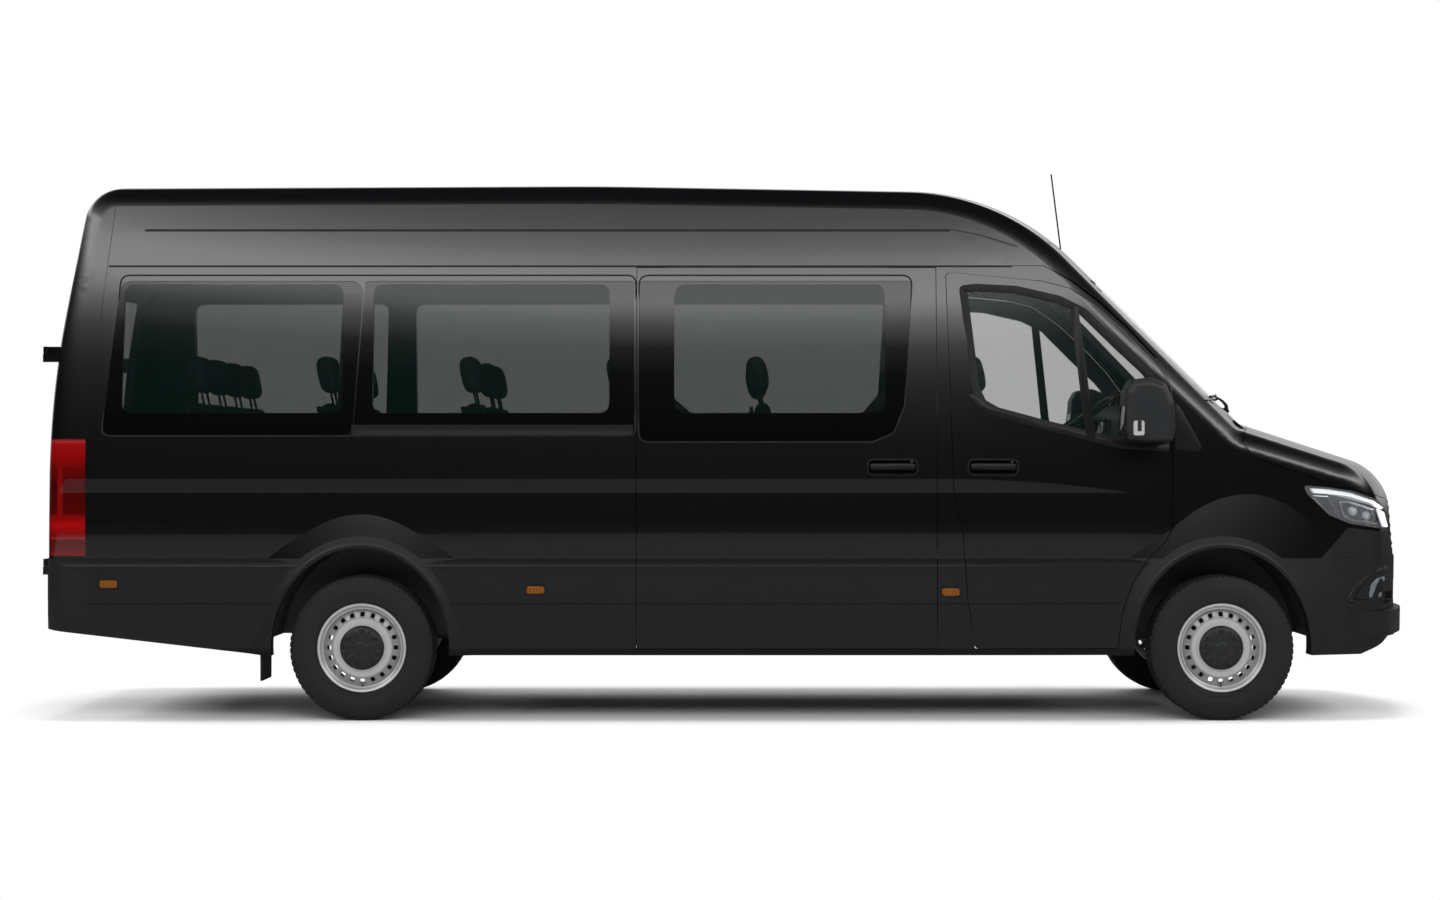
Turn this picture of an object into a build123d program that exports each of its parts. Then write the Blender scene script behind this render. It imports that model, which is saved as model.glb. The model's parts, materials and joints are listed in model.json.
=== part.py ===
from build123d import *
import math
import os

# Passenger minibus, high roof, left-hand drive.
# Frame: +X forward, +Y left, +Z up, origin on the ground below the middle of the length.
# All sizes in millimetres.

os.makedirs("parts", exist_ok=True)

# ---------------------------------------------------------------- driving dimensions
REAR_AXLE_X = -1877.0
WHEELBASE = 4325.0
FRONT_AXLE_X = REAR_AXLE_X + WHEELBASE
TYRE_R = 365.0
TRACK_HALF = 858.0          # middle of a tyre from the centre line

TAIL_X = -3483.0            # rear face at the centre line
NOSE_X = 3489.0             # foremost point of the bumper at the centre line
ROOF_Z = 2755.0             # highest line of the roof before its corners are rounded
SKIRT_Z = 330.0             # lower edge of the side panels
BODY_BOTTOM_Z = 250.0       # lowest level of the body form
CLAD_TOP_Z = 815.0          # top of the plastic lower cladding
CLAD_PROUD = 6.0            # how far the cladding stands out
WALL = 45.0                 # body wall and door thickness
GLASS = 7.0                 # bonded glass, lies flush in the skin
EDGE_R = 120.0              # rounding of roof sides, pillars and corners
SHUT_GAP = 7.0              # gap round every door and lid
FLOOR_Z = 640.0             # top of the passenger floor
FLOOR_T = 40.0
RAIL_REAR_X = -3330.0       # chassis rails, rear end

TURN_X = 1030.0             # ahead of this the sides turn in towards the nose
TURN_R = 20200.0            # plan radius of the cab sides
ROOF_DROP = 90.0            # how far the crown of the roof falls 1 m off centre
SCREEN_SWEEP = 220.0        # how far the windscreen falls back 1 m off centre
BONNET_DROP = 110.0
NOSE_SWEEP = 300.0
TAIL_SWEEP = 25.0

# side skin: an upper and a lower arc that meet, upright, at its widest level
WIDEST_HALF = 1000.0
WIDEST_Z = 646.0
SIDE_UPPER_R = 11250.0
SIDE_LOWER_R = 1740.0
SIDE_TOP_Z = 2900.0         # the side skin is drawn up to here, above the roof

# pressings in the side; all fade out towards the nose on a wider turn than the side's own
CREASE_TOP_Z = 1285.0
STEP_Z = 590.0
PRESS_OUT = 1060.0
FADE_R = 33200.0
POCKET = 24.0               # depth of the hollows behind handles and lamps
# wheel flares: (inwards of the flare's face, half length, half height)
FLARE = [(105.0, 788.0, 1080.0), (4.0, 474.0, 530.0), (0.0, 462.0, 519.0)]


# ---------------------------------------------------------------- small helpers
def block(x0, x1, y0, y1, z0, z1):
    """Box between two corners."""
    size = (x1 - x0, y1 - y0, z1 - z0)
    return Pos((x0 + x1) / 2, (y0 + y1) / 2, (z0 + z1) / 2) * Box(*size)


def inset(points, radii, depth, closed=True):
    """Outline moved inwards by depth; points run clockwise, corner radii follow."""
    count = len(points)
    lines = []
    for i in range(count if closed else count - 1):
        (ax, az), (bx, bz) = points[i], points[(i + 1) % count]
        run = math.hypot(bx - ax, bz - az)
        dx, dz = (bx - ax) / run, (bz - az) / run
        lines.append((ax + dz * depth, az - dx * depth, dx, dz))
    moved, rounded = [], []
    for i in range(count):
        if not closed and i in (0, count - 1):
            x, z, dx, dz = lines[0 if i == 0 else -1]
            moved.append((x + dx / dz * (points[i][1] - z), points[i][1]))
            rounded.append(0)
            continue
        px, pz, ux, uz = lines[i - 1]
        qx, qz, vx, vz = lines[i if closed or i < len(lines) else -1]
        cross = ux * vz - uz * vx
        t = ((qx - px) * vz - (qz - pz) * vx) / cross
        moved.append((px + ux * t, pz + uz * t))
        sign = 1 if cross < 0 else -1
        rounded.append(max(radii[i] - sign * depth, 1.0) if radii[i] else 0)
    return moved, rounded


def prism_y(points, y0, y1, radius=0.0, shrink=0.0):
    """Outline in X and Z, run from y0 to y1; points clockwise."""
    radii = radius if isinstance(radius, list) else [radius] * len(points)
    if shrink:
        points, radii = inset(points, radii, shrink)
    plane = Plane(origin=(0, y1, 0), x_dir=(1, 0, 0), z_dir=(0, -1, 0))
    return extrude(outline(plane, points, radii), amount=y1 - y0)


def prism_x(points, x0, x1, radius=0.0, shrink=0.0):
    """Outline in Y and Z, run from x0 to x1; points clockwise."""
    radii = radius if isinstance(radius, list) else [radius] * len(points)
    if shrink:
        points, radii = inset(points, radii, shrink)
    plane = Plane(origin=(x0, 0, 0), x_dir=(0, 1, 0), z_dir=(1, 0, 0))
    return extrude(outline(plane, points, radii), amount=x1 - x0)


def prism_z(points, z0, z1, radius=0.0):
    """Outline in X and Y, run from z0 to z1."""
    radii = radius if isinstance(radius, list) else [radius] * len(points)
    plane = Plane(origin=(0, 0, z0), x_dir=(1, 0, 0), z_dir=(0, 0, 1))
    return extrude(outline(plane, points, radii), amount=z1 - z0)


def outline(plane, points, radii):
    with BuildSketch(plane) as sketch:
        with BuildLine():
            if any(radii):
                FilletPolyline(*points, radius=radii, close=True)
            else:
                Polyline(*points, close=True)
        make_face()
    return sketch.sketch


def rod(start, end, radius):
    """Round bar between two points."""
    run = Vector(*end) - Vector(*start)
    plane = Plane(origin=start, z_dir=run.normalized())
    return extrude(plane * Circle(radius), amount=run.length)


def both_sides(piece):
    return [piece, mirror(piece, Plane.XZ)]


def group(pieces):
    """Solids that share a node."""
    solids = []
    for piece in pieces:
        solids += list(piece.solids())
    return Compound(children=solids) if len(solids) > 1 else solids[0]


def save(name, piece):
    export_step(group([piece]), f"parts/{name}.step")


# ---------------------------------------------------------------- body form
SECTION_PLANE = Plane(origin=(TURN_X, 0, 0), x_dir=(0, 1, 0), z_dir=(1, 0, 0))


def half_width(level, depth=0.0):
    """Half width of the body at a level, behind the turn of the cab."""
    radius = SIDE_UPPER_R if level > WIDEST_Z else SIDE_LOWER_R
    return WIDEST_HALF - radius + math.sqrt(radius**2 - (level - WIDEST_Z) ** 2) - depth


def swept_side(section, turn_r=TURN_R):
    """A section of the right side, run to the tail and turned with the cab side."""
    rear = extrude(section, amount=-(TURN_X - TAIL_X + 200))
    centre = Axis((TURN_X, turn_r - WIDEST_HALF, 0), (0, 0, 1))
    return rear + revolve(section, axis=centre, revolution_arc=7.6)


def side_solid(depth):
    """Everything inside the side skins, moved inwards by depth."""
    levels = (BODY_BOTTOM_Z, (BODY_BOTTOM_Z + WIDEST_Z) / 2, WIDEST_Z, (WIDEST_Z + SIDE_TOP_Z) / 2, SIDE_TOP_Z)
    skin = [(-half_width(level, depth), level) for level in levels]
    over = 60.0
    with BuildSketch(SECTION_PLANE) as sketch:
        with BuildLine():
            ThreePointArc(*skin[0:3])
            ThreePointArc(*skin[2:5])
            Polyline(skin[-1], (over, skin[-1][1]), (over, skin[0][1]), skin[0])
        make_face()
    half = swept_side(sketch.sketch) & block(-4000, 4000, -2000, 0, 0, 3500)
    return half + mirror(half, Plane.XZ)


def long_section(y):
    """Outline from the tail over the roof and windscreen to the nose, y off centre."""
    q = (y / 1000.0) ** 2
    roof = ROOF_Z - ROOF_DROP * q
    tail = TAIL_X + TAIL_SWEEP * q
    nose = NOSE_X - NOSE_SWEEP * q
    roof_line = (-700, roof, -0.0175)
    screen_line = (1863 - SCREEN_SWEEP * q, 2292, -0.983)
    bonnet_line = (2600, 1527 - BONNET_DROP * q, -0.325)

    def at(line, x):
        return line[1] + line[2] * (x - line[0])

    def meet(a, b):
        x = (at(b, 0) - at(a, 0)) / (a[2] - b[2])
        return (x, at(a, x))

    grille_x = nose - 34
    points = [
        (tail, BODY_BOTTOM_Z), (tail, 1650), (tail + 180, roof - 12), (-700, roof),
        meet(roof_line, screen_line), meet(screen_line, bonnet_line),
        (grille_x, at(bonnet_line, grille_x)), (nose, 820), (nose - 8, BODY_BOTTOM_Z),
    ]
    radii = [0, 5000, 190, 20000, 1200, 60, 300, 600, 0]
    return points, radii


def upper_solid(depth):
    """Everything below the roof and between tail and nose, moved inwards by depth."""
    faces = []
    for y in (-1100, 0, 1100):
        points, radii = long_section(y)
        points, radii = inset(points, radii, depth, closed=False)
        plane = Plane(origin=(0, y, 0), x_dir=(1, 0, 0), z_dir=(0, -1, 0))
        with BuildSketch(plane) as sketch:
            with BuildLine():
                FilletPolyline(*points, radius=radii[1:-1])
                Line(points[-1], points[0])
            make_face()
        faces.append(sketch.sketch.face())
    return loft(faces)


def body_form(depth):
    """The whole closed body with rounded corners, moved inwards by depth."""
    form = side_solid(depth) & upper_solid(depth)
    seeds = {}
    for edge in form.edges():
        middle, box = edge.position_at(0.5), edge.bounding_box()
        on_turn = box.size.X < 0.5 and abs(middle.X - TURN_X) < 1
        if abs(middle.Y) > 700 and box.size.Z > 0.5 and not on_turn:
            seeds.setdefault(middle.Y > 0, edge)
    return fillet(list(seeds.values()), EDGE_R - depth)


def pressing():
    """What is pressed out of the right side: a crease, a hollow below it and the ledge of the cladding."""
    with BuildSketch(SECTION_PLANE) as sketch:
        with BuildLine():
            Polyline((-PRESS_OUT, CREASE_TOP_Z), (-991.3, CREASE_TOP_Z), (-979.9, 1145), (-982.9, 985))
            ThreePointArc((-982.9, 985), (-979.4, 900), (-970, CLAD_TOP_Z + 3))
            Line((-970, CLAD_TOP_Z + 3), (-969, CLAD_TOP_Z - 3))
            ThreePointArc((-969, CLAD_TOP_Z - 3), (-996, 793), (-1007, 742))
            Polyline((-1007, 742), (-PRESS_OUT, 742), (-PRESS_OUT, CREASE_TOP_Z))
        make_face()
    return swept_side(sketch.sketch, FADE_R)


def clad_step():
    """The upper part of the cladding lies a little deeper than the part below the step."""
    with BuildSketch(SECTION_PLANE) as sketch:
        with BuildLine():
            Polyline((-1001.6, 770), (-1002.4, STEP_Z), (-PRESS_OUT, STEP_Z), (-PRESS_OUT, 770), close=True)
        make_face()
    return swept_side(sketch.sketch) & block(-4000, FRONT_AXLE_X, -1150, 0, 0, 3500)


def flare(axle_x, edge_y, yaw):
    """Widening of the right side round a wheel, narrowing outwards in ellipses."""
    faces = []
    for y, long, high in FLARE:
        plane = Plane(origin=(axle_x, y - edge_y, TYRE_R), x_dir=(1, 0, 0), z_dir=(0, -1, 0))
        faces.append((plane * Ellipse(long, high)).face())
    body = loft(faces, ruled=True) & block(-4000, 4000, -1150, 0, SKIRT_Z, 1300)
    return Pos(axle_x, -edge_y, 0) * Rot(0, 0, yaw) * Pos(-axle_x, edge_y, 0) * body


outer = body_form(0)
behind_glass = body_form(GLASS)
behind_pocket = body_form(POCKET)
lining = body_form(WALL)
clad = body_form(-CLAD_PROUD)

above_clad = block(-4000, 4000, -1500, 1500, CLAD_TOP_Z, 3500)
below_clad = block(-4000, 4000, -1500, 1500, SKIRT_Z, CLAD_TOP_Z)
hull = (outer & above_clad) + (clad & below_clad)
for cut in both_sides(pressing()) + both_sides(clad_step()):
    hull = hull - cut
for axle_x, edge_y, yaw in ((REAR_AXLE_X, 1012.0, 0.0), (FRONT_AXLE_X, 985.0, 1.5)):
    for part in both_sides(flare(axle_x, edge_y, yaw)):
        hull = hull + part


def wall(zone):
    """The body's wall inside a zone."""
    return (hull & zone) - lining


def skin(zone):
    """The outermost layer of the wall, as thick as a pane."""
    return (outer & zone) - behind_glass


def pocket(zone):
    """A shallow hollow in the outside of the wall."""
    return (clad & zone) - behind_pocket



# ---------------------------------------------------------------- outlines (X, Z), clockwise
DOOR_REAR_X = -497.0        # sliding door, rear edge
DOOR_FRONT_X = 1017.0       # sliding door, front edge
RAIL_Z = 2284.0             # drip rail: side panels end, roof begins
DOOR_SILL_Z = 361.0
WINDOW_TOP_Z = 2214.0
WINDOW_LOW_Z = 1430.0
LIGHT_TOP_Z = 2196.0
LIGHT_LOW_Z = 1546.0
BODY_SIDE = 828.0           # beyond this the side panels own the rear corner
ARCH_LONG = 446.0           # wheel arch, half length
ARCH_HIGH = 504.0           # wheel arch, height over the axle
ARCH_DEPTH_REAR = 640.0     # inner wall of the rear wheel housing from the centre line
ARCH_DEPTH_FRONT = 530.0
ARCH_WALL = 25.0

CAB_DOOR = [
    (1062, 2256), (1130, 2256), (1552, 2216), (1692, 2180), (1833, 2082), (1973, 1954),
    (2114, 1808), (2202, 1690), (2202, 968), (2164, 900), (2069, 803), (1998, 692),
    (1948, 557), (1923, DOOR_SILL_Z), (1203, DOOR_SILL_Z), (1165, 607), (1146, 920),
    (1096, 1164),
]
CAB_GLASS = [
    (1140, 2182), (1220, 2190), (1420, 2180), (1640, 2130), (1765, 2068), (1938, 1897),
    (2069, 1775), (2176, 1650), (2176, 1368), (1938, 1385), (1552, 1481), (1311, 1546),
    (1236, 1590), (1200, 1671),
]
REAR_GLASS = [(-3098, WINDOW_TOP_Z), (-1872, WINDOW_TOP_Z), (-1924, WINDOW_LOW_Z), (-3184, WINDOW_LOW_Z)]
REAR_LIGHT = [(-3080, LIGHT_TOP_Z), (-1975, LIGHT_TOP_Z), (-2000, LIGHT_LOW_Z), (-3090, LIGHT_LOW_Z)]
MID_GLASS = [(-1866, WINDOW_TOP_Z), (-506, WINDOW_TOP_Z), (-506, WINDOW_LOW_Z), (-1918, WINDOW_LOW_Z)]
MID_LIGHT = [(-1822, LIGHT_TOP_Z), (-632, LIGHT_TOP_Z), (-632, LIGHT_LOW_Z), (-1822, LIGHT_LOW_Z)]
SLIDE_DOOR = [
    (DOOR_REAR_X, RAIL_Z), (DOOR_FRONT_X, RAIL_Z), (DOOR_FRONT_X, DOOR_SILL_Z), (DOOR_REAR_X, DOOR_SILL_Z),
]
SLIDE_GLASS = [
    (-484, WINDOW_TOP_Z), (896, WINDOW_TOP_Z), (854, 1586), (799, 1446), (693, 1400), (-484, 1400),
]
SLIDE_LIGHT = [
    (-306, LIGHT_TOP_Z), (758, LIGHT_TOP_Z), (720, 1640), (640, LIGHT_LOW_Z), (-220, LIGHT_LOW_Z), (-306, 1620),
]
LEFT_GLASS = [(-498, WINDOW_TOP_Z), (955, WINDOW_TOP_Z), (955, WINDOW_LOW_Z), (-498, WINDOW_LOW_Z)]
LEFT_LIGHT = [(-400, LIGHT_TOP_Z), (880, LIGHT_TOP_Z), (880, LIGHT_LOW_Z), (-400, LIGHT_LOW_Z)]
BONNET_SIDE = [
    (2450, 1700), (3600, 1700), (3600, 1098), (3400, 1105), (3309, 1118), (3118, 1161), (2991, 1180),
    (2920, 1222), (2773, 1268), (2640, 1308), (2560, 1390), (2505, 1470),
]
LAMP_SIDE = [
    (2867, 1183), (2991, 1174), (3118, 1155), (3252, 1113), (3330, 1060), (3345, 952), (3104, 988), (3000, 1031),
    (2888, 1137),
]
BUMPER_SEAM = [
    (2600, 797), (2880, 797), (2954, 812), (3097, 968), (3345, 940), (3600, 830), (3600, 200), (2600, 200),
]
LAMP_INNER_Y = 470.0
GLASS_GAP = 2.0
SIDE_Y = 700.0              # outlines on the right side run from here outwards


def right(points, radius=0.0, shrink=0.0, inner=SIDE_Y):
    return prism_y(points, -1150, -inner, radius, shrink)


def glaze(panel, panes):
    """Cut each pane's seat and light opening into the panel; give back panel and panes."""
    glass = []
    for pane_points, light_points, pane_r, light_r in panes:
        panel = panel - skin(right(pane_points, pane_r)) - right(light_points, light_r)
        glass.append(skin(right(pane_points, pane_r, GLASS_GAP)))
    return panel, glass


def arch(axle_x, extra, y0, y1):
    """Solid elliptical wheel opening on the right side."""
    plane = Plane(origin=(axle_x, y1, TYRE_R), x_dir=(1, 0, 0), z_dir=(0, -1, 0))
    oval = plane * Ellipse(ARCH_LONG + extra, ARCH_HIGH + extra)
    return extrude(oval, amount=y1 - y0)


# channels in the skin of both sides: the drip rail, the crease of the roof, the rear corner's seam
DRIP = [
    (-3170, RAIL_Z + 10), (1560, RAIL_Z + 10), (1700, 2222), (1850, 2110), (1985, 1985), (2130, 1830),
    (2124, 1822), (1980, 1975), (1845, 2100), (1697, 2212), (1557, RAIL_Z), (-3170, RAIL_Z),
]
ROOF_CREASE = [
    (-2990, 2479), (1100, 2479), (1250, 2450), (1430, 2392), (1426, 2382), (1240, 2438), (1095, 2467), (-2990, 2467),
]
CORNER_SEAM = [
    (-3142, 2600), (-3138, 2600), (-3198, 2010), (-3216, 1416), (-3220, 1416), (-3202, 2010),
]
SEAM_W = 4.0
for channel in (DRIP, ROOF_CREASE, CORNER_SEAM):
    for cut in both_sides(skin(right(channel))):
        hull = hull - cut
for x in (DOOR_REAR_X, DOOR_FRONT_X):
    hull = hull - skin(block(x - SEAM_W / 2, x + SEAM_W / 2, -1150, 1150, RAIL_Z + 10, 3500))

arches = []
for axle_x in (REAR_AXLE_X, FRONT_AXLE_X):
    arches += both_sides(arch(axle_x, 0, -1150, -ARCH_DEPTH_FRONT))

# ---------------------------------------------------------------- doors
HANDLE_LONG, HANDLE_LOW, HANDLE_TOP = 252.0, 1234.0, 1314.0
GRIP_LOW, GRIP_TOP = 1262.0, 1292.0
GRIP_OUT, GRIP_BACK = 996.0, 972.0


def with_handle(door, x, turn):
    """Door with a hollow and a grip bar on two posts; turn is how far the skin lies inwards there."""
    dish = [(x, HANDLE_TOP), (x + HANDLE_LONG, HANDLE_TOP), (x + HANDLE_LONG, HANDLE_LOW), (x, HANDLE_LOW)]
    grip = block(x + 12, x + HANDLE_LONG - 12, turn - GRIP_OUT, turn - GRIP_BACK, GRIP_LOW, GRIP_TOP)
    grip = fillet(grip.edges().filter_by(Axis.X), 9)
    door = door - pocket(right(dish, 30.0))
    for post_x in (x + 14, x + HANDLE_LONG - 50):
        door = door + block(post_x, post_x + 36, turn - GRIP_BACK - 8, turn - 950, GRIP_LOW + 3, GRIP_TOP - 3)
    return door + grip


half_gap = SHUT_GAP / 2
cab_hole = right(CAB_DOOR, 20.0)
cab_door = wall(right(CAB_DOOR, 20.0, half_gap))
cab_light = inset(CAB_GLASS, [20.0] * len(CAB_GLASS), 30.0)[0]
cab_door, cab_glass = glaze(cab_door, [(CAB_GLASS, cab_light, 20.0, 15.0)])
cab_door = with_handle(cab_door, 1170.0, 2.0)

slide_hole = right(SLIDE_DOOR, 8.0)
slide_door = wall(right(SLIDE_DOOR, 8.0, half_gap))
slide_door, slide_glass = glaze(slide_door, [(SLIDE_GLASS, SLIDE_LIGHT, 25.0, 30.0)])
slide_door = with_handle(slide_door, 665.0, 0.0)

# ---------------------------------------------------------------- side panels
PANEL_REAR = [
    (-3700, RAIL_Z), (DOOR_REAR_X, RAIL_Z), (DOOR_REAR_X, SKIRT_Z), (-3700, SKIRT_Z),
]
PANEL_LEFT = [
    (-3700, RAIL_Z), (DOOR_FRONT_X, RAIL_Z), (DOOR_FRONT_X, SKIRT_Z), (-3700, SKIRT_Z),
]
rear_panes = [(REAR_GLASS, REAR_LIGHT, 60.0, 40.0), (MID_GLASS, MID_LIGHT, 20.0, 40.0)]
panel_right = wall(right(PANEL_REAR, inner=BODY_SIDE)) - arches[0]
panel_right, glass_right = glaze(panel_right, rear_panes)
panel_left = wall(right(PANEL_LEFT, inner=BODY_SIDE)) - arches[0]
panel_left, glass_left = glaze(panel_left, rear_panes + [(LEFT_GLASS, LEFT_LIGHT, 20.0, 40.0)])

# ---------------------------------------------------------------- tail: lamps, bumper, doors
TAIL_DOOR_HALF = 825.0
TAIL_DOOR_LOW = 610.0
TAIL_DOOR_TOP = 2440.0
LAMP_TOP_Z, LAMP_LOW_Z = 1416.0, 830.0
LAMP_IN_Y = 862.0
LAMP_FRONT_X = -3260.0
BUMPER_FRONT_X = -3240.0

rear_zone = block(-3700, BUMPER_FRONT_X, -1150, 1150, SKIRT_Z, CLAD_TOP_Z)
door_space = block(-3700, -3200, -TAIL_DOOR_HALF, TAIL_DOOR_HALF, TAIL_DOOR_LOW, TAIL_DOOR_TOP)
rear_bumper = wall(rear_zone) - door_space - block(-3700, -3200, -600, 600, TAIL_DOOR_LOW - 40, 900)
STEP_HALF, STEP_LOW, STEP_TOP = 765.0, 470.0, 560.0
TREAD_HALF, TREAD_T = 560.0, 4.0
step = block(TAIL_X - 12, RAIL_REAR_X, -STEP_HALF, STEP_HALF, STEP_LOW, STEP_TOP)
tread = block(TAIL_X + 55, RAIL_REAR_X - 8, -TREAD_HALF, TREAD_HALF, STEP_TOP, STEP_TOP + TREAD_T)
rear_bumper = rear_bumper + step + tread
panel_right = panel_right - rear_zone
panel_left = panel_left - rear_zone

lamp_zone = block(-3700, LAMP_FRONT_X, -1150, -LAMP_IN_Y, LAMP_LOW_Z, LAMP_TOP_Z)
tail_lamp = wall(lamp_zone)
panel_right = panel_right - lamp_zone
panel_left = panel_left - lamp_zone

TAIL_DOOR = [
    (-TAIL_DOOR_HALF, TAIL_DOOR_TOP), (0, TAIL_DOOR_TOP), (0, TAIL_DOOR_LOW), (-TAIL_DOOR_HALF, TAIL_DOOR_LOW),
]
TAIL_GLASS = [(-760, 2214), (-45, 2214), (-45, 1430), (-760, 1430)]
TAIL_LIGHT = [(-715, 2190), (-100, 2190), (-100, 1480), (-715, 1480)]
tail_radii = [60.0, 8.0, 8.0, 25.0]
tail_door = wall(prism_x(TAIL_DOOR, -3700, -3200, tail_radii, half_gap))
tail_glass = skin(prism_x(TAIL_GLASS, -3700, -3200, 40.0, GLASS_GAP))
tail_door = tail_door - skin(prism_x(TAIL_GLASS, -3700, -3200, 40.0))
tail_door = tail_door - prism_x(TAIL_LIGHT, -3700, -3200, 30.0)
# the inner corner at the meeting edge is cut back, so that it swings past the other door
MEET_FACE, MEET_BACK = 14.0, 20.0
meet_cut = prism_z([(TAIL_X + MEET_FACE, 5), (TAIL_X + 200, 5), (TAIL_X + 200, -4 * MEET_BACK),
                    (TAIL_X + WALL, -MEET_BACK), (TAIL_X + MEET_FACE, -half_gap)], 500, 2500)
tail_door = tail_door - meet_cut

# barrel hinges: the door's half sits on the pin of the body's half
BARREL_X, BARREL_Y, BARREL_R = -3495.0, -828.0, 14.0
BARREL_PIN_R = 6.0
BARREL_HALF, BARREL_CLEAR = 40.0, 1.0
LEAF_X0, LEAF_W = BARREL_X - 5, 44.0
TAIL_HINGES = [(730.0, TAIL_X + 25), (1806.0, TAIL_X + 80)]      # lower end of the barrel, front end of the leaves


def hinge_fixed(low, leaf_x):
    """Lower half of a barrel with its pin and the leaf on the body."""
    middle = low + BARREL_HALF - BARREL_CLEAR
    leaf = block(LEAF_X0, leaf_x, BARREL_Y - LEAF_W, BARREL_Y, low, middle)
    pin = rod((BARREL_X, BARREL_Y, low), (BARREL_X, BARREL_Y, middle + BARREL_HALF - 6), BARREL_PIN_R)
    return rod((BARREL_X, BARREL_Y, low), (BARREL_X, BARREL_Y, middle), BARREL_R) + leaf + pin


def hinge_moving(low, leaf_x):
    """Upper half of a barrel with its hole and the leaf on the door."""
    middle = low + BARREL_HALF
    high = middle + BARREL_HALF - BARREL_CLEAR
    half = rod((BARREL_X, BARREL_Y, middle), (BARREL_X, BARREL_Y, high), BARREL_R)
    half = half + block(LEAF_X0, leaf_x, half_gap - TAIL_DOOR_HALF, BARREL_Y + LEAF_W, middle, high)
    return half - rod((BARREL_X, BARREL_Y, middle), (BARREL_X, BARREL_Y, high), BARREL_PIN_R + 0.3)


for low, leaf_x in TAIL_HINGES:
    tail_door = tail_door + hinge_moving(low, leaf_x)
for part in both_sides(hinge_fixed(*TAIL_HINGES[0])):
    rear_bumper = rear_bumper + part
panel_right = panel_right + hinge_fixed(*TAIL_HINGES[1])
panel_left = panel_left + hinge_fixed(*TAIL_HINGES[1])
tail_holes = both_sides(prism_x(TAIL_DOOR, -3700, -3200, tail_radii))

# ---------------------------------------------------------------- roof and cab frame
ROOF_SPLIT_X = 1017.0
roof = wall(block(-3700, ROOF_SPLIT_X, -1150, 1150, RAIL_Z, 3500))
for hole in tail_holes:
    roof = roof - hole

BONNET_BACK_X = 2690.0      # rear edge of the bonnet at the centre line
BONNET_BACK_SIDE_X = 2500.0     # and at its sides
with BuildSketch(Plane.XY.offset(900)) as plan:
    with BuildLine():
        ThreePointArc((BONNET_BACK_SIDE_X, -1100), (BONNET_BACK_X, 0), (BONNET_BACK_SIDE_X, 1100))
        Polyline((BONNET_BACK_SIDE_X, 1100), (3700, 1100), (3700, -1100), (BONNET_BACK_SIDE_X, -1100))
    make_face()
bonnet_plan = extrude(plan.sketch, amount=900)
bonnet_zone = prism_y(BONNET_SIDE, -1150, 1150, 10.0) & bonnet_plan

SCREEN = [(-742, 2236), (742, 2236), (806, 1580), (-806, 1580)]
SCREEN_LIGHT = [(-700, 2196), (700, 2196), (762, 1640), (-762, 1640)]
screen_zone = prism_x(SCREEN, 1500, 2800, 70.0)
windscreen = skin(prism_x(SCREEN, 1500, 2800, 70.0, GLASS_GAP))

cab_zone = block(ROOF_SPLIT_X, 2800, -1150, 1150, 1430, 3500)
cab_frame = wall(cab_zone) - bonnet_zone - skin(screen_zone)
cab_frame = cab_frame - prism_x(SCREEN_LIGHT, 1500, 2800, 50.0)
for hole in both_sides(cab_hole) + [slide_hole]:
    cab_frame = cab_frame - hole

# ---------------------------------------------------------------- nose
bonnet = wall(prism_y(BONNET_SIDE, -1150, 1150, 10.0, half_gap) & (Pos(half_gap, 0, 0) * bonnet_plan))

# two hinges: an eye on the bonnet turns on a pin across a slot in the cowl
HINGE_X, HINGE_Z = 2545.0, 1500.0
HINGE_Y0, HINGE_Y1 = -715.0, -685.0
HINGE_PIN_R = 8.0
HINGE_ARM = [
    (HINGE_X - 8, HINGE_Z + 13), (HINGE_X + 10, HINGE_Z + 13), (2625, 1456), (2645, 1450), (2645, 1428), (2612, 1428),
    (HINGE_X - 8, HINGE_Z - 13),
]
slot = block(HINGE_X - 30, 2665, HINGE_Y0, HINGE_Y1, 1380, 1600)
pin = rod((HINGE_X, HINGE_Y0 - 2, HINGE_Z), (HINGE_X, HINGE_Y1 + 2, HINGE_Z), HINGE_PIN_R)
arm = prism_y(HINGE_ARM, HINGE_Y0 + 3, HINGE_Y1 - 3, 5.0)
arm = arm - rod((HINGE_X, HINGE_Y0, HINGE_Z), (HINGE_X, HINGE_Y1, HINGE_Z), HINGE_PIN_R + 0.3)
for part in both_sides(slot):
    cab_frame = cab_frame - part
for part in both_sides(pin):
    cab_frame = cab_frame + part
for part in both_sides(arm):
    bonnet = bonnet + part

# the chin is cut back, a lip stands out above it; hollows for the fog lamps and the lower intake
CHIN = [(3130, 318), (3172, 334), (3248, 364), (3309, 395), (3375, 425), (3700, 425), (3700, 200), (3130, 200)]
LIP_OUT, LIP_LOW, LIP_TOP, LIP_HALF = 36.0, 420.0, 545.0, 900.0
FOG = [(-862, 640), (-600, 640), (-560, 585), (-800, 572), (-862, 590)]
INTAKE_HALF, INTAKE_LOW, INTAKE_TOP = 470.0, 585.0, 690.0
lip = Pos(LIP_OUT, 0, 0) * (clad & block(3000, 3700, -LIP_HALF, LIP_HALF, LIP_LOW, LIP_TOP))
hull = hull + lip - prism_y(CHIN, -1150, 1150)
for cut in both_sides(pocket(prism_x(FOG, 3100, 3700, 12.0))):
    hull = hull - cut
hull = hull - pocket(block(3200, 3700, -INTAKE_HALF, INTAKE_HALF, INTAKE_LOW, INTAKE_TOP))
bumper_zone = prism_y(BUMPER_SEAM, -1150, 1150)
front_zone = block(2500, 3700, -1150, 1150, SKIRT_Z, 3000)
lamp_block = right(LAMP_SIDE, 12.0, inner=LAMP_INNER_Y)
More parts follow.
